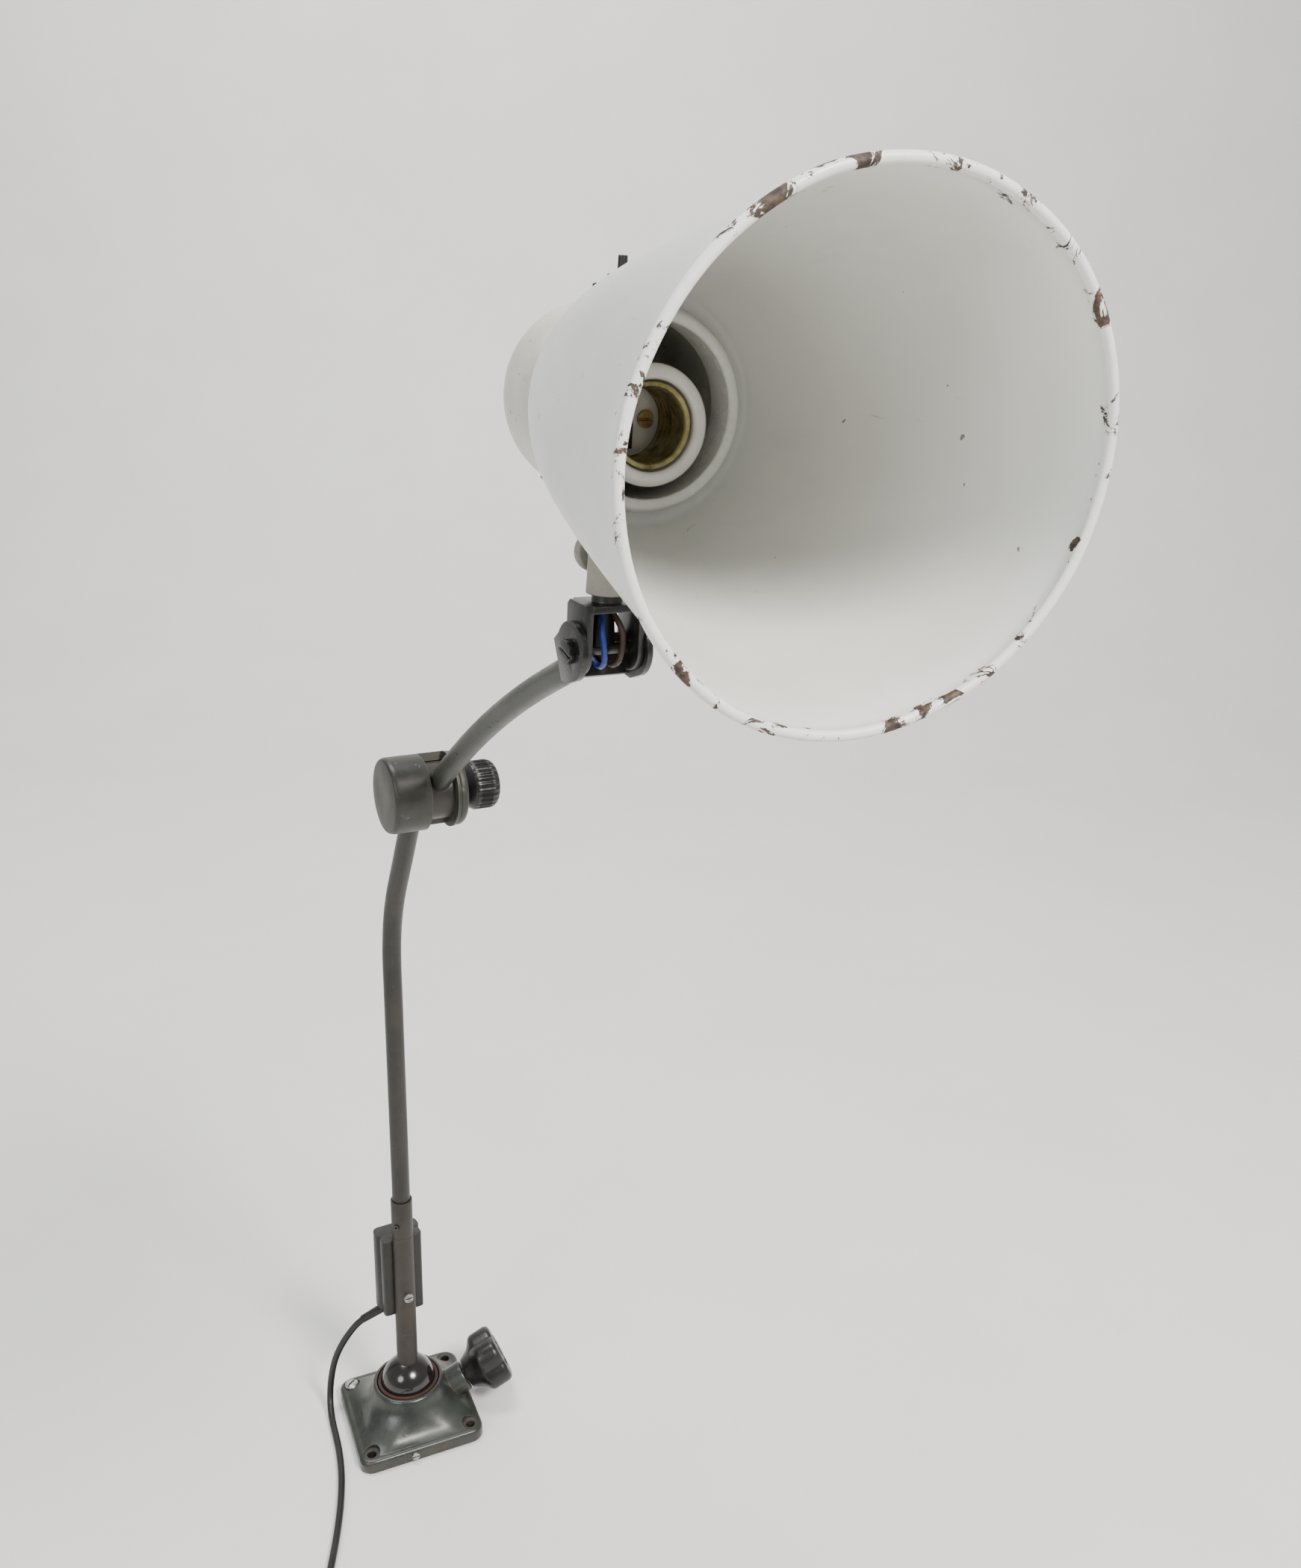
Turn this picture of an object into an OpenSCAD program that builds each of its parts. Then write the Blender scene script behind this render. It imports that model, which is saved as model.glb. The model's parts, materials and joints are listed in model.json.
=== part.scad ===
// Swing arm desk lamp. A square cast base clamps a ball joint, a lower arm turns in the stem
// sleeve, a drum elbow joins it to the upper arm, and a clevis carries the lamp head.
// The origin is the centre of the base's underside; Z points up, the head hangs towards -Y.

/* [Base] */
// Side of the square base
base_side = 86; // [82:1:92]
// Height of the base's upright edge
skirt_h = 9.5; // [8:0.5:11]
// Distance between neighbouring fixing holes
hole_pitch = 69; // [66:1:70]
// Diameter of the fixing holes
hole_d = 6; // [4.5:0.5:6.5]
// Diameter of the ball joint's ball
ball_d = 37; // [36:0.5:37.5]
// Diameter of the base's lobed clamp knob
base_knob_d = 43; // [38:1:48]

/* [Stem and arms] */
// Outside diameter of both arm tubes
tube_d = 12; // [10:0.5:12.5]
// Outside diameter of the stem sleeve
sleeve_d = 14.4; // [14:0.2:16]
// Height of the sleeve's top above the table
sleeve_top = 179; // [160:1:200]
// Swing of the arms about the upright axis, in degrees
arm_turn = 5.6; // [-60:0.1:60]
// Sideways lean of the stem, in degrees
arm_lean = 1.4; // [-5:0.1:5]
// Height at which the lower arm starts to bend
bend_z = 350; // [300:5:400]
// Bend of the lower arm, in degrees
bend_a = 30; // [20:1:40]
// Rise of the upper arm as it leaves the elbow, in degrees
rise_a = 36.5; // [25:0.5:40]
// Diameter of the elbow drum
drum_d = 44; // [42:1:48]
// Diameter of the elbow's clamp knob
elbow_knob_d = 29; // [24:1:32]

/* [Head] */
// Tilt of the lamp head, mouth down, in degrees
head_tilt = 4; // [0:1:20]
// Turn of the lamp head about its stud, in degrees
head_turn = -5.5; // [-20:0.5:20]
// Height of the shade's axis above the clevis pin
axis_h = 97.4; // [94:0.2:98]
// Outside radius of the lamp housing
housing_r = 37; // [36:0.5:38]
// Inside radius of the shade's mouth
mouth_r = 75.5; // [70:0.5:82]
// Distance of the shade's mouth in front of the swivel stud
mouth_s = 188; // [150:1:190]
// Wall of the shade
shade_wall = 1.2; // [1.2:0.1:2]

/* [Mains lead] */
// Diameter of the mains lead
cord_d = 4.6; // [4:0.1:5]
// Diameter across the middle of the coiled lead
coil_d = 50; // [46:1:54]

/* [Hidden] */

$fn = 64;
gap = 0.3;                          // clearance between parts that move on each other
ball_z = 31.5;                      // height of the ball's centre
ball_r = ball_d / 2;
earth_x = -6.5;                     // place of the earth screw along the front edge
seat_r = 21;                        // outside radius of the fibre seat around the ball
tube_r = tube_d / 2;
tube_bore = tube_r - 1.5;
sleeve_r = sleeve_d / 2;
sleeve_bore = tube_r + 0.15;
box_h = 59;                         // height of the junction box
relief_at = [-8.6, 13.6, 92];       // where the lead leaves the box, in the arm's frame
tube_foot = 116;                    // height of the lower arm tube's open end
drum_r = drum_d / 2;
drum_wall = 5;
window_low = -98;                   // ends of the drum's window, in degrees above level
window_top = 108;
drum_left = -20;                    // the drum's closed end, along the elbow axis
drum_right = 19.6;                  // the drum's open end
ring_right = 24.4;                  // outer face of the drum's end ring
upper_x = 9.8;                      // the upper arm and head stand this far right of the stem
bend_r = 120;
lower_run = 85;                     // from the end of the bend to the elbow axis
upper_run = 24;                     // straight start of the upper arm, from the elbow axis
upper_bend_r = 760;
upper_bend_a = 12.5;
pivot_run = 57;                     // from the end of the upper bend to the clevis pin
fork_a = rise_a - upper_bend_a;     // rise of the upper arm at the clevis
elbow_y = -bend_r * (1 - cos(bend_a)) - lower_run * sin(bend_a);
elbow_z = bend_z + bend_r * sin(bend_a) + lower_run * cos(bend_a);
bend2_y = elbow_y - upper_run * cos(rise_a);
bend2_z = elbow_z + upper_run * sin(rise_a);
run2_y = bend2_y - upper_bend_r * (sin(rise_a) - sin(fork_a));
run2_z = bend2_z + upper_bend_r * (cos(fork_a) - cos(rise_a));
pivot_y = run2_y - pivot_run * cos(fork_a);
pivot_z = run2_z + pivot_run * sin(fork_a);
fork_out = 16;                      // half the fork's outside width
fork_in = 13.5;
yoke_out = 13.2;                    // half the yoke's outside width
yoke_in = 10.4;
yoke_top = 20;                      // top of the yoke above the pin
stud_r = 4;
housing_front = 26;                 // distances along the shade axis, from the swivel stud
housing_back = -46;
ring_r = 37;                        // outside radius of the ring that holds the shade
ring_face = 35;                     // front of that ring, along the shade axis
socket_face = 38;
socket_drop = 5;                    // the lamp holder sits this far below the shade's axis
shell_r = 13.2;                     // inside radius of the E27 thread shell
switch_s = 1;                       // the switch's place along the shade axis
cord_r = cord_d / 2;
coil_at = [-66, -216, 0];
coil_turn = cord_d + 0.05;          // spacing of the coiled lead's turns
plug_x = -40;                       // where the plug's boot begins
tail_y = -240;

// Mains lead from the relief down to half height, then on to the table and the coil
drop_pts = [[-25, 18.4, 77], [-30, 21.2, 71], [-34.6, 23.8, 63.8], [-38.8, 26.2, 56],
    [-42.4, 28.4, 47.8], [-45.4, 30.2, 39], [-47.53, 31.36, 30.29]];
lay_pts = [[-47.6, 31.4, 30], [-49.2, 31.8, 21.4], [-50.6, 30.4, 13.2], [-51.8, 26, 6.4],
    [-52.6, 18.6, 2.9], [-53, 10, 2.4], [-53.2, -2, 2.4], [-53.6, -14, 2.4], [-54.6, -26, 2.4],
    [-56.4, -39, 2.4], [-59, -52, 2.4], [-62.2, -65, 2.4], [-66, -78, 2.4], [-70.2, -91, 2.4],
    [-74.8, -104, 2.4], [-79.4, -117, 2.4], [-83.8, -130, 2.4], [-87.6, -143, 2.4],
    [-90.8, -156, 2.4], [-93.2, -169, 2.4], [-94.8, -182, 2.4], [-95.6, -195, 2.4],
    [-95.8, -207, 2.4]];
tail_pts = [[-60, -236.6, 13], [-52, -237.6, 16.4], [-44.5, -239.3, 18.4], [-37, -240, 18.7]];
plug_z = 18.7;                      // height of the plug's axis as it lies
relief_end = [-25, 18.4, 77];       // where the lead leaves its relief
// Wires through the clevis, in the arm's frame, from the pin
blue_pts = [[-2.4, -1.2, 16.2], [-3.4, -3.4, 13.2], [-4.8, -6.4, 10], [-5.2, -8.2, 6.5],
    [-4.6, -8.4, 1.5], [-3.6, -6.6, -4], [-2.8, -1.6, -7], [-2.2, 4.2, -6.6], [-1.8, 9, -4.6]];
brown_pts = [[2.4, -1, 16.2], [3.3, -2.8, 13.2], [4.3, -5.2, 10], [4.6, -7, 6.5],
    [4.2, -7.4, 1.5], [3.4, -6.2, -4], [2.8, -2, -6.6], [2.2, 3.6, -6], [1.8, 8.6, -4.2]];

// ---- frames and helpers ----
module arm_frame() {
    translate([0, 0, ball_z]) rotate([0, arm_lean, arm_turn]) translate([0, 0, -ball_z]) children();
}
module elbow_frame() { arm_frame() translate([0, elbow_y, elbow_z]) children(); }
module fork_frame() {
    arm_frame() translate([upper_x, pivot_y, pivot_z]) rotate([-fork_a, 0, 0]) children();
}
module pin_frame() { arm_frame() translate([upper_x, pivot_y, pivot_z]) children(); }
module yoke_frame() { pin_frame() rotate([head_tilt, 0, 0]) children(); }
module head_frame() { yoke_frame() rotate([0, 0, head_turn]) children(); }
module shade_axis() { head_frame() translate([0, 0, axis_h]) rotate([90, 0, 0]) children(); }
module socket_axis() { head_frame() translate([0, 0, axis_h - socket_drop]) rotate([90, 0, 0]) children(); }
module clamp_frame() { translate([57, 0, 27]) rotate([0, 68, 0]) children(); }
module along_x() { rotate([0, 90, 0]) children(); }

module pipe(r_out, r_in, z0, z1) {
    translate([0, 0, z0]) difference() {
        cylinder(h = z1 - z0, r = r_out);
        translate([0, 0, -1]) cylinder(h = z1 - z0 + 2, r = r_in);
    }
}
module disc(r, z0, z1) { translate([0, 0, z0]) cylinder(h = z1 - z0, r = r); }
module corner_posts(w, d, h, r) {
    for (x = [-1, 1], y = [-1, 1])
        translate([x * (w / 2 - r), y * (d / 2 - r), 0]) cylinder(h = h, r = r, $fn = 32);
}
module rounded_block(w, d, h, r) { hull() corner_posts(w, d, h, r); }
// A slotted cheese-head screw: the head stands on z = 0, the shank goes down
module slotted_screw(head_r, head_h, shank_r, shank_l) {
    difference() {
        disc(head_r, 0, head_h);
        translate([-head_r - 1, -0.6, head_h - 1.1]) cube([2 * head_r + 2, 1.2, 2]);
    }
    disc(shank_r, -shank_l, 0);
}

function unit(v) = v / norm(v);
function mix4(a, b, c, d, t) = 0.5 * ((2 * b) + (c - a) * t + (2 * a - 5 * b + 4 * c - d) * t * t
    + (3 * b - a - 3 * c + d) * t * t * t);
function at(p, i) = p[max(0, min(len(p) - 1, i))];
function smooth(p, n) = concat([for (i = [0 : len(p) - 2], k = [0 : n - 1])
    mix4(at(p, i - 1), p[i], p[i + 1], at(p, i + 2), k / n)], [p[len(p) - 1]]);
function tangent(p, i) = unit(at(p, i + 1) - at(p, i - 1));
function across(u, t) = unit(u - (u * t) * t);
function carried(p, u, i) = i == 0 ? [across(u, tangent(p, 0))]
    : let (done = carried(p, u, i - 1)) concat(done, [across(done[i - 1], tangent(p, i))]);
// A solid tube of n sides swept along the points p
module swept(p, r, n, u) {
    side = carried(p, u, len(p) - 1);
    pts = [for (i = [0 : len(p) - 1], k = [0 : n - 1])
        let (v = cross(tangent(p, i), side[i]))
        p[i] + r * (side[i] * cos(360 * k / n) + v * sin(360 * k / n))];
    last = (len(p) - 1) * n;
    walls = [for (i = [0 : len(p) - 2], k = [0 : n - 1])
        [i * n + k, (i + 1) * n + k, (i + 1) * n + (k + 1) % n, i * n + (k + 1) % n]];
    polyhedron(points = pts, faces = concat([[for (k = [0 : n - 1]) k]], walls,
        [[for (k = [n - 1 : -1 : 0]) last + k]]), convexity = 6);
}

// ---- base ----
module base_dome() {
    hull() {
        translate([0, 0, skirt_h]) corner_posts(base_side - 7, base_side - 7, 0.4, 11);
        translate([0, 0, skirt_h + 3]) corner_posts(base_side - 17, base_side - 17, 0.1, 18);
    }
    hull() {
        translate([0, 0, skirt_h + 3]) corner_posts(base_side - 17, base_side - 17, 0.1, 18);
        translate([0, 0, 20]) corner_posts(58, 58, 0.1, 24);
    }
    hull() {
        translate([0, 0, 20]) corner_posts(58, 58, 0.1, 24);
        translate([0, 0, 28]) cylinder(h = 0.1, r = 26);
    }
}
module base_casting() {
    color("#3f423d") difference() {
        union() {
            rounded_block(base_side, base_side, skirt_h, 9);
            base_dome();
            translate([0, 0, 27]) cylinder(h = 6, r1 = 26, r2 = 24);
            intersection() {
                clamp_frame() disc(11, -44, -17);
                translate([0, -20, 0.5]) cube([60, 40, 40]);
            }
        }
        translate([0, 0, ball_z]) sphere(r = seat_r + gap);
        disc(seat_r + gap, ball_z, 40);
        disc(8, -1, 14);
        clamp_frame() disc(stud_r + gap, -36.5, -10);
        translate([0, 0, ball_z]) rotate([0, 130.8, 0]) disc(6.2, 10, 27.2);
        for (x = [-1, 1], y = [-1, 1])
            translate([x * hole_pitch / 2, y * hole_pitch / 2, -1]) cylinder(h = 30, d = hole_d);
        for (x = [-1, 1], y = [-1, 1])
            translate([x * hole_pitch / 2, y * hole_pitch / 2, skirt_h - 0.5])
                cylinder(h = 20, r = 5.4);
        translate([-60, -2.2, 13]) cube([26, 4.4, 16]);
        translate([earth_x, -base_side / 2 - 1, 5]) rotate([-90, 0, 0]) cylinder(h = 9, r = 1.6);
    }
}
module earth_screw() {
    color("#b9bcb8") translate([earth_x, -base_side / 2, 5]) rotate([90, 0, 0])
        slotted_screw(2.6, 1.6, 1.5, 7.5);
}
module clamp_pad() {
    color("#a08448") translate([0, 0, ball_z]) rotate([0, 130.8, 0]) difference() {
        disc(6, 20.6, 27);
        translate([0, 0, 0]) sphere(r = seat_r + 0.2);
    }
}
module knob_lobes(r, lobes) {
    circle(r = r * 0.74);
    for (k = [0 : lobes - 1]) rotate(360 * k / lobes) translate([r * 0.62, 0]) circle(r = r * 0.38);
}
module base_knob() {
    color("#141210") clamp_frame() difference() {
        union() {
            translate([0, 0, -4]) linear_extrude(height = 16) knob_lobes(base_knob_d / 2, 5);
            translate([0, 0, -16]) cylinder(h = 12.1, r1 = 11, r2 = 16);
        }
        disc(stud_r + 0.02, -17, 8);
    }
}
module base_knob_stud() { color("#8d8d88") clamp_frame() disc(stud_r, -33.8, 8); }
module ball_seat() {
    color("#6d2a1c") translate([0, 0, ball_z]) difference() {
        union() {
            sphere(r = seat_r);
            disc(seat_r, 0, 1.5);
        }
        sphere(r = ball_r + gap);
        disc(seat_r + 1, 1.5, 30);
        disc(ball_r + gap, 0, 30);
        disc(8, -30, 0);
    }
}

// ---- stem ----
module swivel_ball() {
    color("#17130f") arm_frame() difference() {
        translate([0, 0, ball_z]) sphere(r = ball_r);
        disc(sleeve_r + 0.03, ball_z + 9, ball_z + 30);
        disc(4, ball_z - 30, ball_z + 12);
    }
}
module stem_sleeve() {
    color("#4a4038") arm_frame() difference() {
        pipe(sleeve_r, sleeve_bore, ball_z + 9, 151);
        translate([-3.5, 2, 92]) cube([7, 10, 20]);
        translate([0, 0, 105]) rotate([90, 0, 0]) cylinder(h = 10, r = 2.1);
    }
}
module sleeve_collar() {
    color("#4a4038") arm_frame() difference() {
        pipe(sleeve_r, sleeve_bore, 151.2, sleeve_top);
        translate([0, 0, 161]) rotate([90, 0, -49]) cylinder(h = 10, r = 2.1);
    }
}
module arm_set_screw() {
    color("#23201d") arm_frame() translate([0, 0, 161]) rotate([90, 0, -49]) difference() {
        disc(2, tube_r + 0.2, sleeve_r + 0.8);
        disc(0.9, sleeve_r - 0.4, sleeve_r + 2);
    }
}
module box_saddle() {
    color("#15130f") arm_frame() difference() {
        translate([0, 5, 88]) rounded_block(28, 8, box_h, 2.5);
        disc(sleeve_r + 0.03, 80, 160);
        translate([-3.5, 2, 92]) cube([7, 12, 20]);
        translate([0, 0, 105]) rotate([-90, 0, 0]) cylinder(h = 20, r = 2.1);
    }
}
module box_cover() {
    color("#191612") arm_frame() difference() {
        translate([0, 15, 88]) rounded_block(31, 12, box_h, 4.5);
        translate([0, 13, 90.5]) rounded_block(26, 12, box_h - 5, 3);
        translate(relief_at) rotate([0, 180, 0]) cylinder(h = 6, r = 3.4);
    }
}
module box_screw() {
    color("#b5b1a8") arm_frame() translate([0, -sleeve_r, 105]) rotate([90, 0, 0])
        slotted_screw(3.2, 1.8, 2, 25);
}
module terminal_block() {
    color("#ded8c6") arm_frame() difference() {
        translate([0, 14.2, 122]) cube([18, 9, 20], center = true);
        for (x = [-4.5, 4.5]) translate([x, 14.2, 110]) cylinder(h = 24, r = 1.7);
        for (x = [-4.5, 4.5]) translate([x, 14.2, 122]) rotate([-90, 0, 0]) cylinder(h = 8, r = 2);
    }
}
module terminal_screws() {
    color("#c9a95a") arm_frame() for (x = [-4.5, 4.5])
        translate([x, 17.5, 122]) rotate([-90, 0, 0]) slotted_screw(1.8, 1.1, 1.2, 1.4);
}
module cord_relief() {
    color("#121212") {
        arm_frame() translate(relief_at - [0, 0, 4]) cylinder(h = 4, r = 3.35);
        hull() {
            arm_frame() translate(relief_at - [0, 0, 5]) cylinder(h = 1, r = 4.2, $fn = 32);
            translate(relief_end) rotate([0, -128, -30]) cylinder(h = 0.4, r = cord_r + 0.4, $fn = 32);
        }
    }
}

// ---- lower arm ----
// The middle line of the lower arm, from its foot to the elbow, carried past both ends by an overrun
function lower_line(over) = concat([[0, 0, tube_foot - over]],
    [for (a = [0 : 3 : bend_a]) [0, bend_r * (cos(a) - 1), bend_z + bend_r * sin(a)]],
    [[0, elbow_y, elbow_z] + (drum_r - drum_wall + 1 - over) * [0, sin(bend_a), -cos(bend_a)]]);
module lower_arm_tube() {
    color("#45413b") arm_frame() difference() {
        swept(lower_line(0), tube_r, 32, [1, 0, 0]);
        swept(lower_line(2), tube_bore, 32, [1, 0, 0]);
    }
}
module elbow_housing() {
    color("#4b4d45") elbow_frame() difference() {
        along_x() rotate_extrude() polygon([[0, drum_left], [drum_r - 7, drum_left],
            for (a = [0 : 15 : 90]) [drum_r - 7 + 7 * sin(a), drum_left + 7 - 7 * cos(a)],
            [drum_r, drum_right], [0, drum_right]]);
        along_x() disc(drum_r - drum_wall, drum_left + 6, 40);
        along_x() disc(stud_r + 0.1, drum_left + 1.5, 0);
        rotate([bend_a, 0, 0]) disc(tube_r + 0.03, -40, -drum_r + drum_wall + 1);
        // the window that the upper arm swings in
        along_x() rotate(-90 - window_top) rotate_extrude(angle = window_top - window_low)
            translate([12, upper_x - 7.6]) square([14, 15.2]);
    }
}
module elbow_end_ring() {
    color("#77776f") elbow_frame() along_x() difference() {
        union() {
            disc(drum_r - drum_wall - 0.03, drum_right - 0.7, drum_right);
            disc(drum_r - 0.6, drum_right, ring_right - 1.6);
            translate([0, 0, ring_right - 1.6]) cylinder(h = 1.6, r1 = drum_r - 0.6, r2 = drum_r - 2.2);
        }
        disc(stud_r + gap, 0, 60);
        translate([0, 0, drum_right + 2.2]) disc(15, 0, 30);
    }
}
module elbow_washers() {
    color("#5a3a24") elbow_frame() along_x() for (z = [drum_left + 6, drum_right - 2])
        pipe(drum_r - drum_wall - 0.2, stud_r + gap, z + 0.02, z + 1.18);
}
module elbow_stud() { color("#8d8d88") elbow_frame() along_x() disc(stud_r, drum_left + 2, 40); }
module elbow_knob() {
    r = elbow_knob_d / 2;
    color("#0f0e0d") elbow_frame() along_x() difference() {
        union() {
            disc(8.4, ring_right - 2.2, 26.6);
            translate([0, 0, 26.6]) cylinder(h = 5.4, r1 = 9.5, r2 = r - 0.8);
            disc(r - 0.6, 32, 44.5);
            translate([0, 0, 44.5]) cylinder(h = 2.5, r1 = r - 0.6, r2 = r - 3);
            for (k = [0 : 23]) rotate(15 * k) translate([r - 0.9, 0, 33.5]) cylinder(h = 10.5, r = 0.9);
        }
        disc(stud_r + 0.02, 10, 40);
    }
}

// ---- upper arm ----
module elbow_hub() {
    hub_r = drum_r - drum_wall - 0.5;
    color("#3a3b36") elbow_frame() difference() {
        along_x() disc(hub_r, drum_left + 7.3, drum_right - 2.1);
        along_x() disc(stud_r + gap, -40, 40);
        translate([upper_x, 0, 0]) rotate([-rise_a, 0, 0]) rotate([90, 0, 0])
            disc(tube_r + 0.03, 6, 40);
    }
}
// The middle line of the upper arm, from the hub to the fork, carried past both ends by an overrun
function upper_line(over) = concat(
    [[0, elbow_y, elbow_z] + (6 - over) * [0, -cos(rise_a), sin(rise_a)]],
    [for (a = [0 : 1.25 : upper_bend_a]) [0, bend2_y - upper_bend_r * (sin(rise_a) - sin(rise_a - a)),
        bend2_z + upper_bend_r * (cos(rise_a - a) - cos(rise_a))]],
    [[0, pivot_y, pivot_z] + (13 - over) * [0, cos(fork_a), -sin(fork_a)]]);
module upper_arm_tube() {
    color("#585c56") arm_frame() translate([upper_x, 0, 0]) difference() {
        swept(upper_line(0), tube_r, 32, [1, 0, 0]);
        swept(upper_line(2), tube_bore, 32, [1, 0, 0]);
    }
}
module fork_cheek() {
    rotate([0, 90, 0]) linear_extrude(height = fork_out - fork_in) union() {
        circle(r = 12.4);
        polygon([[-8.8, 12.8], [-12.2, -2], [12.4, 0], [11.6, 8.6], [9, 12.8]]);
    }
}
module arm_fork() {
    color("#20211f") fork_frame() difference() {
        union() {
            for (x = [-fork_out, fork_in]) translate([x, 0, 0]) fork_cheek();
            translate([-fork_out, 10, -9]) cube([2 * fork_out, 2.8, 17.8]);
            rotate([-90, 0, 0]) disc(tube_r + 2.2, 12.7, 17);
        }
        rotate([-90, 0, 0]) disc(tube_r + 0.03, 13, 30);
        rotate([-90, 0, 0]) disc(4.2, 5, 20);
        along_x() disc(2.65, -30, 30);
    }
}
module pivot_screw() {
    color("#2a2a28") pin_frame() translate([-fork_out, 0, 0]) rotate([0, -90, 0]) rotate(70) {
        slotted_screw(5.2, 2.8, 2.5, 2 * fork_out + 4);
    }
}
module pivot_nut() {
    color("#2a2a28") pin_frame() translate([fork_out, 0, 0]) along_x() difference() {
        cylinder(h = 3.6, r = 5, $fn = 6);
        disc(2.52, -1, 6);
    }
}
module clevis_wire_blue() { color("#14226e") pin_frame() swept(smooth(blue_pts, 2), 1.3, 8, [1, 0, 0]); }
module clevis_wire_brown() { color("#4a2a16") pin_frame() swept(smooth(brown_pts, 2), 1.3, 8, [1, 0, 0]); }

// ---- yoke and head ----
module yoke_cheek() {
    rotate([0, 90, 0]) linear_extrude(height = yoke_out - yoke_in) union() {
        circle(r = 9.6);
        polygon([[0, -9.6], [0, 9.6], [-yoke_top + 2, 9.6], [-yoke_top, 7.6],
            [-yoke_top, -7.6], [-yoke_top + 2, -9.6]]);
    }
}
module head_yoke() {
    color("#1b1c1b") yoke_frame() difference() {
        union() {
            for (x = [-yoke_out, yoke_in]) translate([x, 0, 0]) yoke_cheek();
            translate([-yoke_in - 0.1, -9.6, yoke_top - 3]) cube([2 * yoke_in + 0.2, 19.2, 3]);
            disc(6.4, yoke_top - 0.1, yoke_top + 3);
        }
        along_x() disc(2.65, -30, 30);
        disc(stud_r, yoke_top - 6, yoke_top + 9);
    }
}
module swivel_stud() {
    color("#8d8d88") yoke_frame() difference() {
        disc(stud_r - 0.02, yoke_top - 3, 46);
        for (x = [-1.9, 1.9]) translate([x, 0, 0]) disc(1.4, 0, 60);
    }
}
module head_bracket() {
    color("#8f8f84") head_frame() difference() {
        union() {
            translate([0, 0, yoke_top + 3.3]) cylinder(h = 28, r1 = 8.8, r2 = 7.9);
            disc(7.9, yoke_top + 31.2, axis_h - housing_r);
            translate([0, 0, axis_h]) rotate([90, 0, 0]) translate([0, 0, -10])
                rotate_extrude(angle = 84, start = 228)
                translate([housing_r + 0.02, 0]) square([2.6, 20]);
        }
        translate([0, 0, axis_h]) rotate([90, 0, 0]) disc(housing_r + 0.02, -40, 40);
        disc(stud_r + gap, 20, 48);
        disc(2.5, 40, 80);
        translate([0, 0, 37]) rotate([-90, 0, 0]) cylinder(h = 20, r = 2.6);
        translate([0, 0, 40]) rotate([90, 0, -52]) cylinder(h = 12, r = 1.7);
        for (a = [-30, 30]) translate([0, 0, axis_h]) rotate([0, 180 + a, 0]) disc(2.1, 20, 60);
    }
}
module bracket_screws() {
    color("#8a8478") head_frame() for (a = [-30, 30])
        translate([0, 0, axis_h]) rotate([0, 180 + a, 0]) translate([0, 0, housing_r + 2.62])
            rotate(20) slotted_screw(4.2, 3.4, 2, 6);
}
module thumb_screw() {
    color("#6f7064") head_frame() translate([0, 0, 37]) rotate([-90, 0, 0]) difference() {
        union() {
            disc(2.3, 4.4, 16);
            translate([0, 0, 14.6]) cylinder(h = 1.2, r1 = 7, r2 = 8.4);
            disc(8.4, 15.8, 18);
            translate([0, 0, 18]) cylinder(h = 1.2, r1 = 8.4, r2 = 7);
        }
        disc(0.8, 18.4, 22);
    }
}
module lamp_housing() {
    wall = 1.8;
    corner = 24;
    depth = -housing_back;
    color("#c9c7bb") shade_axis() difference() {
        rotate_extrude() polygon([[0, -depth], for (a = [0 : 10 : 90])
            [housing_r - corner + corner * sin(a), -depth + corner - corner * cos(a)],
            [housing_r, housing_front], [0, housing_front]]);
        rotate_extrude() polygon([[0, -depth + wall], for (a = [0 : 10 : 90])
            [housing_r - corner + (corner - wall) * sin(a), -depth + corner - (corner - wall) * cos(a)],
            [housing_r - wall, housing_front + 1], [0, housing_front + 1]]);
        translate([0, 0, switch_s]) rotate([-90, 0, 0]) disc(5.1, 20, 50);
        rotate([90, 0, 0]) disc(4.5, 20, 50);
        for (a = [-30, 30]) rotate([90, 0, 0]) rotate([0, a, 0]) disc(2.1, 20, 50);
    }
}
// The bell's outer radius at a share t of its length, from the neck to the mouth
function bell_r(t) = 44 + (mouth_r - 44) * pow(t, 0.72);
function bell_s(t) = housing_front + 3 + (mouth_s - housing_front - 3) * t;
module shade() {
    steps = [0 : 1 / 14 : 1.001];
    color("#e4e4de") shade_axis() rotate_extrude() {
        polygon(concat([[ring_r - 3.3, housing_front], [42, housing_front]],
            [for (t = steps) [bell_r(t) + shade_wall * 0.5, bell_s(t)]],
            [for (k = [14 : -1 : 0]) [bell_r(k / 14) - shade_wall * 0.5, bell_s(k / 14)]],
            [[41.6, housing_front + 1.6], [ring_r - 3.3, housing_front + 1.6]]));
        translate([mouth_r + 0.6, mouth_s]) circle(r = 1.7, $fn = 24);
    }
}
module retaining_ring() {
    color("#dcdcd6") shade_axis() {
        pipe(ring_r - 3.6, ring_r - 5.4, housing_front - 7, ring_face);
        pipe(ring_r, ring_r - 3.65, housing_front + 1.62, ring_face);
    }
}
module socket_carrier() {
    color("#9a9a92") socket_axis() difference() {
        union() {
            translate([-32, -8, -4.2]) cube([64, 16, 2]);
            for (x = [-32, 30.4]) translate([x, -8, -16]) cube([1.6, 16, 12]);
        }
        disc(4, -20, 10);
    }
}
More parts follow.
